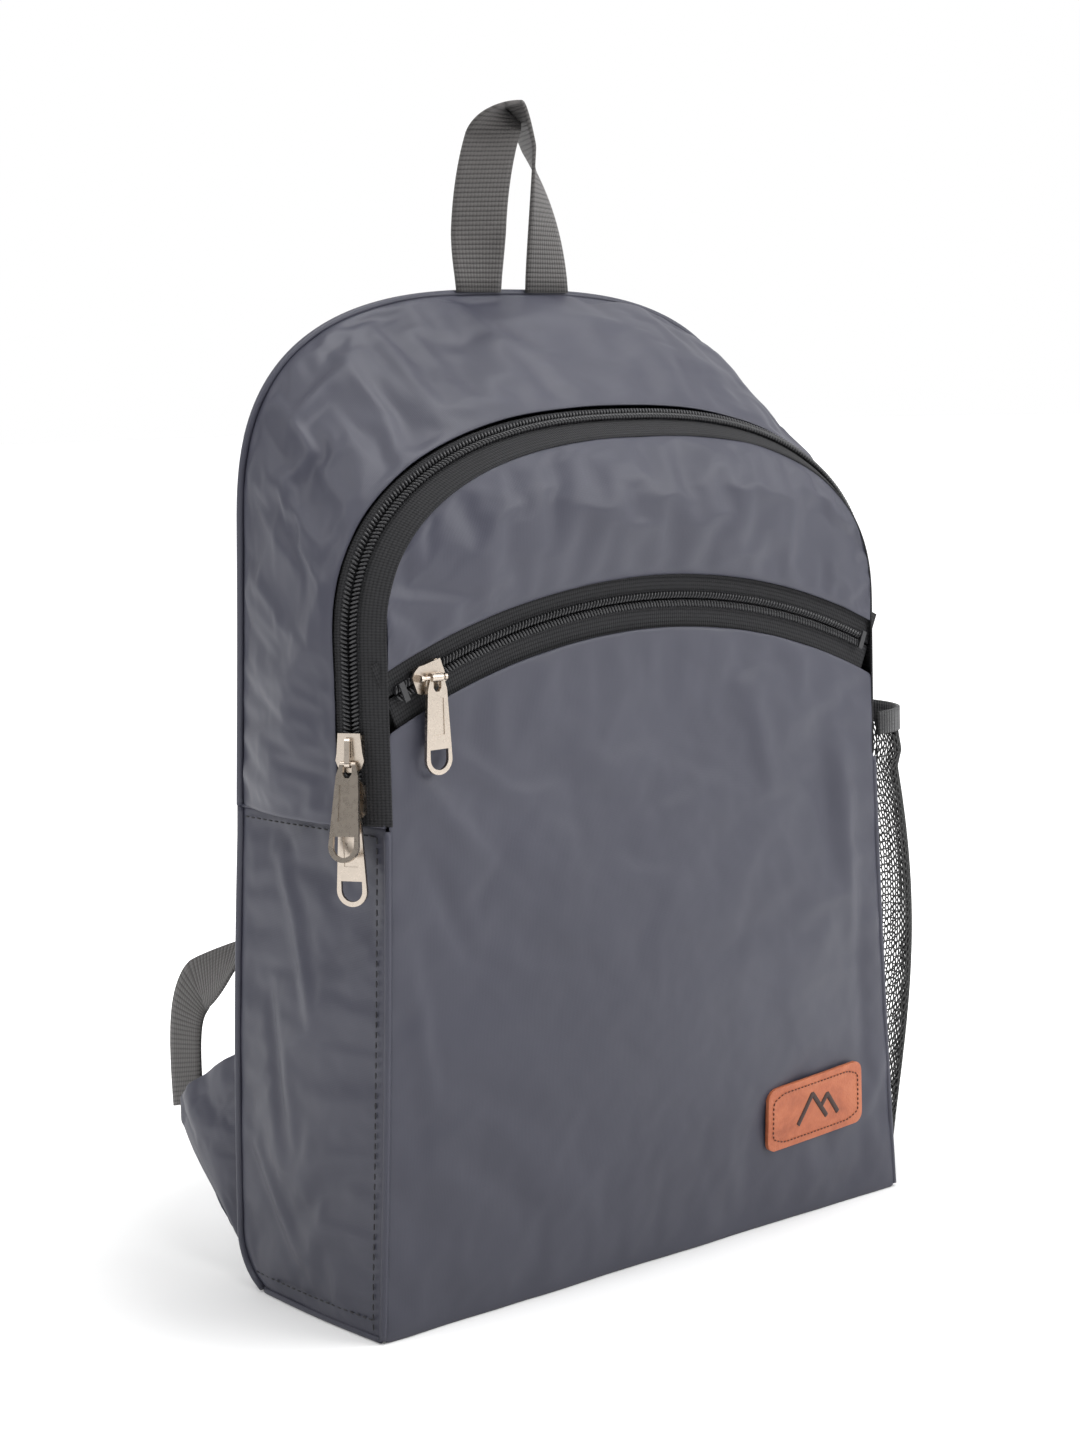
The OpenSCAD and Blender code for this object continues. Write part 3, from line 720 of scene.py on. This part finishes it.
p = grid("pocket_panel", pocket_panel, 72, 72, lambda c: (0, -1, 0))
settle(p, lambda u, v: 1.0 if u < .02 or u > .98 or v < .02 or v > .98 else 0.0,
       slack=0.006, cap=5, away=(0, 1, 0))
solid(p, 1.0)
subdiv(p)
finish(p, "bag", "shell_fabric", M["shell"], "front_pocket_panel")

p = grid("upper_panel", upper_panel, 80, 28, lambda c: (0, -1, 0))
settle(p, lambda u, v: 1.0 if u < .02 or u > .98 or v < .04 or v > .96 else 0.0,
       slack=0.02, cap=4, away=(0, 1, 0))
solid(p, 1.0)
subdiv(p)
finish(p, "bag", "shell_fabric", M["shell"], "front_upper_panel")

for g, tag in SIDES:
    p = grid("side_" + tag, side_panel(g), 32, 60, lambda c, g=g: (g, 0, 0))
    settle(p, lambda u, v: 1.0 if u < .04 or u > .96 or v < .02 or v > .97 else 0.0,
           slack=0.015, cap=4, away=(-g, 0, 0))
    solid(p, 1.0)
    subdiv(p)
    finish(p, "bag", "shell_fabric", M["shell"], "side_panel_" + tag)

p = grid("gusset", gusset, 150, 30, lambda c: (0, 0, 1))
settle(p, lambda u, v: 1.0 if u < .01 or u > .99 or v < .04 or v > .96 else 0.0,
       slack=0.02, cap=6)
solid(p, 1.0)
subdiv(p)
finish(p, "bag", "shell_fabric", M["shell"], "gusset_panel")

p = grid("back_face", back_quilt, 72, 90, lambda c: (0, 1, 0))
solid(p, 1.4)
subdiv(p)
finish(p, "bag", "shell_fabric", M["shell"], "back_panel", "back_foam")
p = grid("back_liner", lambda u, v: back_sheet(u, v, 6, -7.5, 30), 30, 40, lambda c: (0, -1, 0))
solid(p, 0.8)
finish(p, "bag", "lining", M["lining"], "back_lining")


def wall(u, v):
    """The wall between the front pocket and the main compartment."""
    x = (2 * u - 1) * (FRONT_W - 5)
    z = mix(4, front_top(x) - 6, v)
    return x, FRONT_Y + 7.2 + 0.6 * fuzz(x, 0, z, 40.0), z


p = grid("divider", wall, 36, 40, lambda c: (0, -1, 0))
solid(p, 0.7)
finish(p, "bag", "lining", M["lining"], "pocket_back_wall")


def base(u, v):
    return (2 * u - 1) * (BASE_W - 3), mix(FRONT_Y + 1.8, back_at(0), v), 0.0


p = grid("base_panel", base, 40, 16, lambda c: (0, 0, -1))
solid(p, 1.2)
finish(p, "bag", "shell_fabric", M["shell"], "bottom_panel")


# ---- seams ----
def piping(name, pts, radius, sides, **kw):
    """A rounded seam allowance of shell cloth along points."""
    finish(tube(name, pts, radius, sides, **kw), "bag", "shell_fabric", M["shell"])


def side_row(g, t0, t1, count, z, at=None):
    """Points along the side panel at height z; at is the height whose outline they follow."""
    rows = [side_at(t, z if at is None else at) for t in np.linspace(t0, t1, count)]
    return [np.array((g * x, y, z)) for x, y in rows]


def side_column(g, t, z0, z1, count):
    """Points up the side panel at one place between its seams."""
    return [np.array((g * side_at(t, z)[0], side_at(t, z)[1], z))
            for z in np.linspace(z0, z1, count)]


# here g is 1 on the left, as side_at gives the left side
for g, tag in ((1, "left"), (-1, "right")):
    pts = [np.array((g * -front_w(z), FRONT_Y + 0.9, z)) for z in np.linspace(1.6, SEAM - 2, 60)]
    piping("seam_front_" + tag, pts, 1.5, 10)
    stitches("topstitch_front_" + tag, side_column(g, 0.045, 4, SEAM - 4, 60),
             lambda c, g=g: (-g, -0.1, 0), "bag", sink=-0.9)
    piping("seam_waist_" + tag, side_row(g, 0.0, 1, 24, SEAM - 0.1, SEAM), 0.9, 8, up=(g, 0, 0))
    stitches("topstitch_waist_" + tag, side_row(g, 0.05, 0.97, 24, SEAM - 4.5, 207),
             lambda c, g=g: (-g, 0, 0), "bag", sink=-0.9)
    stitches("topstitch_base_" + tag, side_row(g, 0.04, 0.95, 24, 9.0),
             lambda c, g=g: (-g, 0, 0), "bag", sink=-0.9)
    pts = [np.array((g * -back_w(z), back_at(z) - 0.6, z)) for z in np.linspace(2, SEAM, 70)]
    piping("seam_back_" + tag, pts, 1.7, 10, up=(0, 1, 0.02))

for g, tag in ((1, "left"), (-1, "right")):
    piping("seam_base_" + tag, side_row(g, 0, 1, 30, 1.4), 1.3, 8, up=(0, 0, 1))
pts = [np.array((x, back_at(1.4) - 0.8, 1.4)) for x in np.linspace(-BASE_W + 1, BASE_W - 1, 60)]
piping("seam_base_back", pts, 1.3, 8, up=(0, 0, 1))

arch_pts = []
for k in range(161):
    x, z, ex, ez = back_arch(2 * k / 160 - 1)
    arch_pts.append(np.array((x + ex * 0.4, back_at(z) - 0.6, z + ez * 0.4)))
piping("seam_back_arch", arch_pts, 1.7, 10, up=(0, 1, 0.02))


# ---- zippers ----
def band_strip(name, t0, t1):
    """A tape of the main zipper, from t0 to t1 across the band."""
    p = grid(name, lambda u, v: band(2 * u - 1, mix(t0, t1, v), 0.35 * sind(180 * v)),
             200, 8, lambda c: (0, -0.5, 1))
    return solid(p, 0.8)


p = band_strip("arch_tape_front", COIL_GAP / 2, TAPE + 0.8)
finish(p, "bag", "zipper_tape", M["tape"], "main_tape_front")
p = band_strip("arch_tape_gusset", -7.6, -COIL_GAP / 2)
finish(p, "bag", "zipper_tape", M["tape"], "main_tape_gusset")


def even_s(f, pitch):
    """Values of s spaced evenly along a path f(s), s in -1..1."""
    ss = np.linspace(-1, 1, 900)
    pts = np.array([f(s) for s in ss])
    d = np.concatenate([[0], np.cumsum(np.linalg.norm(np.diff(pts, axis=0), axis=1))])
    n = int(d[-1] / pitch)
    return np.interp(np.arange(n + 1) * pitch, d, ss)


def chain(name, at, side, node):
    """Slanted coil loops of one side of a zipper; at(s, t, n) places a point on the band."""
    items, step = [], 0.004
    for s in even_s(lambda s: at(s, 0, 0), COIL_PITCH):
        c = np.array(at(s, side * (COIL_GAP / 2 + COIL_W / 2 - 0.25), 1.45))
        t = np.array(at(min(1, s + step), 0, 0)) - np.array(at(max(-1, s - step), 0, 0))
        t = t / np.linalg.norm(t)
        a = np.array(at(s, side * 1.0, 0)) - np.array(at(s, 0, 0))
        a = a / np.linalg.norm(a)
        n = np.array(at(s, 0, 1.0)) - np.array(at(s, 0, 0))
        ax = a * 0.93 + t * 0.36
        items.append((c, ax / np.linalg.norm(ax) * (COIL_W / 2 + 0.3), t * COIL_PITCH * 0.40,
                      n * COIL_H / 2 * 0.95))
    ob = beads(name, items, sides=8, rings=6)
    finish(ob, "bag", "zipper_coil", M["coil"], node)


chain("arch_coil_front", band, 1, "main_coil_front")
chain("arch_coil_gusset", band, -1, "main_coil_gusset")


def arc_band(s, t, n, reach=1.0):
    """A point of the pocket zipper's band: t across, upwards, and n out of the bag."""
    a = ARC_DEG * s * reach
    r = ARC_R + t
    return r * sind(a), POCKET_Y - n, ARC_Z + r * cosd(a)


for name, r0, r1, node in (("pocket_tape_low", -15.5, -COIL_GAP / 2, "pocket_tape_lower"),
                           ("pocket_tape_high", COIL_GAP / 2, 15.5, "pocket_tape_upper")):
    p = grid(name, lambda u, v, r0=r0, r1=r1: arc_band(2 * u - 1, mix(r0, r1, v), 0, 1.04),
             120, 8, lambda c: (0, -1, 0))
    solid(p, 0.8)
    finish(p, "bag", "zipper_tape", M["tape"], node)
chain("pocket_coil_low", arc_band, -1, "pocket_coil_lower")
chain("pocket_coil_high", arc_band, 1, "pocket_coil_upper")


# ---- stops, sliders, pulls and ladder locks: the CAD pieces, some with softened edges ----
def paint(node, mat, soft=0.0):
    """Material of a CAD piece, and the radius in metres that its edges are softened by."""
    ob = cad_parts[node]
    ob.data.materials.clear()
    ob.data.materials.append(mat)
    if soft:
        b = ob.modifiers.new("soft_edges", "BEVEL")
        b.width, b.segments, b.limit_method, b.angle_limit = soft, 3, "ANGLE", math.radians(35)


for node in ("main_zip_stops", "pocket_zip_stops"):
    paint(node, M["coil"])
for node in ("main_slider_upper", "main_slider_lower", "pocket_slider",
             "pull_upper", "pull_lower", "pull_pocket"):
    paint(node, M["nickel"], 0.0003)
for node in ("ladder_lock_left", "ladder_lock_right"):
    paint(node, M["plastic"], 0.0006)


# ---- haul loop ----
HAUL_Y, HAUL_RINGS = back_at(BACK_H) - 3, 90


def haul(t):
    """Centre line of the loop, from its left foot over the top to its right foot."""
    a = 180 * t
    return np.array((-20 * cosd(a) * (1 - 0.35 * sind(a) ** 2), HAUL_Y,
                     BACK_H + 0.5 + (HAUL_TOP - BACK_H - 1.5) * max(0, sind(a)) ** 0.75))


def haul_turn(t):
    """Degrees that the webbing is turned about the vertical."""
    if t < 0.3:
        return -32 * min(1, t / 0.07)
    if t < 0.5:
        return mix(-32, 80, (t - 0.3) / 0.2)
    return mix(80, 62, (t - 0.5) / 0.25) if t < 0.75 else mix(62, 0, (t - 0.75) / 0.25)


cs, ws = [], []
for k in range(HAUL_RINGS + 1):
    turn = haul_turn(k / HAUL_RINGS)
    cs.append(haul(k / HAUL_RINGS))
    ws.append(np.array((cosd(turn), sind(turn), 0.0)) * WEB_W / 2)
p = ribbon("haul_webbing", cs, ws, ribbon_normals(cs, ws), 1.6, across=8)
finish(p, None, "webbing", M["webbing"], "haul_loop")
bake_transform(p)


# ---- patch ----
def on_patch(x, z, lift):
    """A point of the tilted patch, lifted off the pocket's front."""
    xx = PATCH_X + x * cosd(PATCH_TILT) - z * sind(PATCH_TILT)
    zz = PATCH_Z + z * cosd(PATCH_TILT) + x * sind(PATCH_TILT)
    return np.array((xx, pocket_face(xx, zz) - lift, zz))


def patch(u, v):
    """The patch, with its corners rounded by narrowing the top and bottom rows."""
    z = -PATCH_H * cosd(180 * v)
    e = max(0, abs(z) - PATCH_H + PATCH_R)
    half = PATCH_W - PATCH_R + math.sqrt(max(0, PATCH_R**2 - e * e))
    return on_patch(half * (2 * u - 1), z, 2.9)


p = grid("patch_leather", patch, 40, 24, lambda c: (0, -1, 0))
solid(p, 2.0)
b = p.modifiers.new("round", "BEVEL")
b.width, b.segments, b.limit_method = 0.0005, 2, "ANGLE"
finish(p, "bag", "leather", M["leather"], "leather_patch")
edge = []
for k in range(80):
    a = 2 * math.pi * k / 79
    x = clamp(1.25 * math.cos(a), -1, 1) * (PATCH_W - 3.2)
    z = clamp(1.25 * math.sin(a), -1, 1) * (PATCH_H - 3.2)
    edge.append(on_patch(x, z, 3.0))
s = stitches("patch_stitch", edge, lambda c: (0, -1, 0), "bag", pitch=2.3, length=1.5, radius=0.36)
s.data.materials.clear()
s.data.materials.append(M["tan_thread"])


def mark(name, pts, radius):
    """A debossed line of a plain peak symbol, lying on the patch; its dark brown is partly the
    pressed leather's own tone and partly painted shade of the groove.
    """
    path = [on_patch(x, z, 2.95) for x, y, z in resample([(x, 0, z) for x, z in pts], 0.8)]
    finish(tube(name, path, radius, 8, flat=0.35), "bag", "leather", M["debossed"])


mark("patch_peak_high", [(-13, -6), (-3, 7), (7, -6)], 1.3)
mark("patch_peak_low", [(3, -0.5), (7.5, 4.5), (15, -6)], 1.3)


# ---- mesh pocket ----
def mesh_at(t, v):
    """A point of the mesh pocket, t from its front edge to its back edge and v up."""
    z = mix(MESH_FOOT, MESH_TOP, v)
    x = mix(front_w(z), back_w(z), t) + 4.5 * clamp((z - 203) / 8)
    x += 4 * sind(180 * t) * sind(180 * clamp(z / 250 + 0.1)) + 1.0
    puff = max(0, 1 - abs(1 - 2 * t) ** 2.6) ** 0.46
    x += MESH_BULGE * puff * (0.12 + 0.88 * sind(180 * v**0.85 * 0.76))
    return x, mix(FRONT_Y + 3.5, back_at(z) - 6, t), z


def net(name, at, wide, tall, cell, thick):
    """Open hexagonal net on a surface, as real strands."""
    column, row = cell * 1.5, cell * 0.866
    nx, ny = int(wide / column), int(tall / row)
    bm = bmesh.new()
    seen = {}

    def vert(a, b):
        key = (round(a, 3), round(b, 3))
        if key not in seen:
            point = at(clamp(a / wide), clamp(b / tall))
            seen[key] = bm.verts.new([c * 0.001 for c in point])
        return seen[key]

    for i in range(nx + 1):
        for j in range(-1, ny // 2 + 1):
            cx = i * column
            cy = (j * 2 + (i % 2)) * row
            if not (0 <= cy <= tall and 0 <= cx <= wide):
                continue
            ring = [vert(cx + cell * math.cos(math.pi * k / 3), cy + cell * math.sin(math.pi * k / 3))
                    for k in range(6)]
            if len(set(ring)) == 6 and not bm.faces.get(ring):
                try:
                    bm.faces.new(ring)
                except ValueError:
                    pass
    me = bpy.data.meshes.new(name)
    bm.to_mesh(me)
    bm.free()
    ob = bpy.data.objects.new(name, me)
    bpy.context.scene.collection.objects.link(ob)
    w = ob.modifiers.new("strands", "WIREFRAME")
    w.thickness, w.use_even_offset, w.use_replace = thick * 0.001, False, True
    return apply_all(ob)


p = net("mesh_net", mesh_at, 165.0, 225.0, 2.3, 0.95)
finish(p, "bag", "mesh", M["mesh"], "mesh_pocket")
cs = [np.array(mesh_at(k / 40, 1.0)) + np.array((0.8, 0, 5.0)) for k in range(41)]
ws = [np.array((0.0, 0.0, 5.5))] * len(cs)
p = ribbon("mesh_top_elastic", cs, ws, [-n for n in ribbon_normals(cs, ws)], 2.0, across=4)
finish(p, "bag", "elastic", M["elastic"], "mesh_binding")


# ---- yoke that the straps' top ends are sewn to ----
def yoke(u, v):
    z = mix(YOKE_LOW, YOKE_HIGH, v)
    puff = 0.5 * sind(180 * u) ** 0.3 * sind(180 * v) ** 0.5
    return YOKE_W * (1 - 2 * u), back_at(z) + 1.2 + puff, z


p = grid("yoke_cloth", yoke, 60, 8, lambda c: (0, 1, 0))
solid(p, 0.9)
subdiv(p)
finish(p, "bag", "shell_fabric", M["shell"], "strap_yoke")
for z in (400.5, 415.5):
    pts = [np.array((x, back_at(z) + 1.75, z)) for x in np.linspace(-84, 84, 50)]
    stitches("topstitch_yoke_%d" % z, pts, lambda c: (0, 1, 0), "bag")


# ---- shoulder straps ----
def strap_c(q):
    """Centre line of the left strap's underside, q from its top to the ladder lock."""
    z = mix(STRAP_TOP, STRAP_END, q)
    return np.array((-mix(44, 122, (1 - cosd(180 * q)) / 2),
                     back_at(z) + 2.4 + 15 * sind(180 * q), z))


def strap_half(q):
    return mix(STRAP_W, WEB_W + 7, clamp(q * 1.05 - 0.05) ** 1.6) / 2


def strap_skin(g, outer):
    """One face of a strap: the outer cloth, with two lines of quilting, or the mesh underside."""
    def f(u, v):
        a = 180 * u
        c, w = strap_c(1 - v), strap_half(1 - v)
        x = w * -cosd(a)
        h = max(0, sind(a)) ** 0.45
        quilt = 1 - 0.12 * math.exp(-((abs(x) - w * 0.55) / 2.0) ** 2)
        y = c[1] + STRAP_T / 2 + (STRAP_T / 2 * h * quilt if outer else -STRAP_T / 2 * h * 0.98)
        return g * -(c[0] + x), y, c[2]

    return f


def bend_strap(ob):
    """Applies a strap piece's modifiers and bakes its placement into its mesh."""
    apply_all(ob)
    y = strap_c(0)[1] / 1000
    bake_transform(ob)


for g, tag in SIDES:
    p = grid("strap_skin_" + tag, strap_skin(g, True), 28, 90, lambda c: (0, 1, 0))
    solid(p, 0.8)
    finish(p, None, "shell_fabric", M["shell"], "strap_face_" + tag, "strap_foam_" + tag)
    bend_strap(p)
    p = grid("strap_under_" + tag, strap_skin(g, False), 28, 90, lambda c: (0, -1, 0))
    solid(p, 0.8)
    finish(p, None, "mesh", M["mesh"], "strap_mesh_" + tag)
    bend_strap(p)
    for e in (-1, 1):
        pts = []
        for k in range(91):
            c, w = strap_c(k / 90), strap_half(k / 90)
            pts.append(np.array((g * -(c[0] + e * w), c[1] + STRAP_T / 2, c[2])))
        t = tube("strap_binding_%s_%s" % (tag, "in" if e > 0 else "out"), pts, 1.9, 8)
        finish(t, None, "elastic", M["elastic"])
        bend_strap(t)


# ---- strap webbing ----
LOCK = np.array((strap_c(1)[0], strap_c(1)[1] + 3, STRAP_END - 15))


def web_line(t):
    """Left webbing: out of the ladder lock, back in a slack curve, then down to the wing's tip."""
    a = LOCK + (0, 2.2, 5.6)
    b = LOCK + (-2, 8.5, 1)
    c = np.array((WING_X + 8, TIP_Y - 8, 124.0))
    d = np.array((WING_X + 3, TIP_Y - 4, 96.0))
    e = np.array((WING_X, TIP_Y - 8, 70.0))

    def bez(p0, p1, p2, k):
        return mix(mix(p0, p1, k), mix(p1, p2, k), k)

    if t < 0.15:
        return mix(a, b, t / 0.15)
    if t < 0.6:
        return bez(b, c - (0, 34, -16), c, (t - 0.15) / 0.45)
    k = (t - 0.6) / 0.4
    return bez(c, c + (-3, 12, -14), mix(d, e, k), k)


for g, tag in SIDES:
    cs, ws, ns = [], [], []
    flip = np.array((-g, 1, 1))
    for k in range(71):
        t = k / 70
        f = web_line(min(1, t + 0.02)) - web_line(max(0, t - 0.02))
        turn = 90 * clamp((t - 0.12) / 0.5)
        sv = np.array((0, -f[2], f[1])) / math.hypot(f[1], f[2])
        w = (np.array((cosd(turn), 0, 0)) + sv * sind(turn)) * WEB_W / 2
        out = np.cross(f, w)
        cs.append(web_line(t) * flip)
        ws.append(w * flip)
        ns.append(-out / np.linalg.norm(out) * flip)
    p = ribbon("strap_web_" + tag, cs, ws, ns, 1.5, across=6)
    finish(p, "strap_" + tag, "webbing", M["webbing"], "strap_webbing_" + tag)


# ---- wings ----
def wing(g):
    """Folded cloth wing from the back seam to the webbing's sewn end, with a slack lower lobe."""
    def f(u, v):
        y0, z0 = BACK_Y + 0.3, mix(104, 20, v)
        tip = np.array((TIP_Y - 4, mix(73, 50, v)))
        low = max(0.0, (v - 0.55) / 0.45)
        reach = mix(1.0, 0.35, low**1.5)
        y = mix(y0, tip[0], u * reach)
        z = mix(z0, tip[1], (u * reach) ** 1.15) - 9 * low * sind(180 * u)
        out = 3.0 * sind(180 * u) * sind(180 * v) + 2.2 * math.sin(5 * v + 2 * u) * u * (1 - u) * 2
        return g * (-WING_X + 1.6 + out), y, z

    return f


for g, tag in SIDES:
    p = grid("wing_cloth_" + tag, wing(g), 30, 30, lambda c, g=g: (g, 0, 0))
    settle(p, lambda u, v: 1.0 if u < .05 or (u > .93 and v < .5) else 0.0, slack=0.03, cap=5,
           gravity=0.6)
    solid(p, 1.8, 0.0)
    subdiv(p)
    finish(p, "bag", "shell_fabric", M["shell"], "wing_" + tag)

# ---- floor: it glows more away from the bag, so that its edge melts into the white world; the weaker glow near the bag is painted shade around it ----
bpy.ops.mesh.primitive_plane_add(size=60, location=(0, 0, 0))
floor = bpy.context.object
floor.name = "floor"
mat, nt, b = principled("floor_white", (0.86, 0.86, 0.86), 0.7)
b.inputs["Specular IOR Level"].default_value = 0.05
b.inputs["Emission Color"].default_value = (1, 1, 1, 1)
where = nt.nodes.new("ShaderNodeVectorMath")
where.operation = "LENGTH"
nt.links.new(coords(nt, False), where.inputs[0])
glow = nt.nodes.new("ShaderNodeMapRange")
glow.inputs["From Min"].default_value, glow.inputs["From Max"].default_value = 0.2, 0.5
# glow of 0.1 near the bag, a painted shade there, rising to 0.75 far off
glow.inputs["To Min"].default_value, glow.inputs["To Max"].default_value = 0.1, 0.75
nt.links.new(where.outputs["Value"], glow.inputs["Value"])
nt.links.new(glow.outputs["Result"], b.inputs["Emission Strength"])
floor.data.materials.append(mat)

# ---- world: white, and dimmer on the side that the camera looks from ----
world = bpy.data.worlds.new("studio")
bpy.context.scene.world = world
world.use_nodes = True
wt = world.node_tree
ray = wt.nodes.new("ShaderNodeTexCoord")
dot = wt.nodes.new("ShaderNodeVectorMath")
dot.operation = "DOT_PRODUCT"
dot.inputs[1].default_value = (0.64, 0.76, 0.1)
wt.links.new(ray.outputs["Generated"], dot.inputs[0])
shade = wt.nodes.new("ShaderNodeMapRange")
shade.inputs["From Min"].default_value = -0.5
shade.inputs["From Max"].default_value = 0.75
shade.inputs["To Min"].default_value = 0.33
shade.inputs["To Max"].default_value = 1.0
wt.links.new(dot.outputs["Value"], shade.inputs["Value"])
wt.links.new(shade.outputs["Result"], wt.nodes["Background"].inputs["Strength"])
wt.nodes["Background"].inputs["Color"].default_value = (1, 1, 1, 1)


# ---- lights ----
def area(name, loc, target, size, power):
    """A rectangular light at loc that faces target, in metres and watts."""
    light = bpy.data.lights.new(name, "AREA")
    light.shape, light.size, light.size_y, light.energy = "RECTANGLE", size[0], size[1], power
    o = bpy.data.objects.new(name, light)
    bpy.context.scene.collection.objects.link(o)
    o.location = loc
    o.rotation_euler = (Vector(target) - Vector(loc)).to_track_quat("-Z", "Y").to_euler()


area("key_top", (0.15, -0.35, 1.6), (0, 0, 0.25), (1.1, 0.9), 15)
area("side_left", (-1.1, 0.15, 1.4), (0, 0, 0.3), (0.6, 0.8), 7)
area("front_right", (0.8, -1.0, 0.85), (0, -0.05, 0.32), (1.1, 0.6), 11)

# ---- camera: angles in radians, place in metres, lens in millimetres on a 36 mm sensor ----
YAW, PITCH, ROLL = 0.6988, 0.1206, -0.0264
CAM_X, CAM_Y, CAM_Z, LENS = -0.7689, -0.8936, 0.3828, 65.52125
fw = Vector((math.sin(YAW) * math.cos(PITCH), math.cos(YAW) * math.cos(PITCH), -math.sin(PITCH)))
right = Vector((math.cos(YAW), -math.sin(YAW), 0))
up = right.cross(fw)
r2 = right * math.cos(ROLL) + up * math.sin(ROLL)
u2 = -right * math.sin(ROLL) + up * math.cos(ROLL)
cam_data = bpy.data.cameras.new("camera")
cam = bpy.data.objects.new("camera", cam_data)
bpy.context.scene.collection.objects.link(cam)
cam.matrix_world = Matrix((
    (r2.x, u2.x, -fw.x, CAM_X), (r2.y, u2.y, -fw.y, CAM_Y), (r2.z, u2.z, -fw.z, CAM_Z),
    (0, 0, 0, 1)))
cam_data.sensor_fit = "AUTO"
cam_data.sensor_width = 36.0
cam_data.lens = LENS
cam_data.dof.use_dof = False
bpy.context.scene.camera = cam
bpy.context.scene.view_settings.view_transform = "Standard"
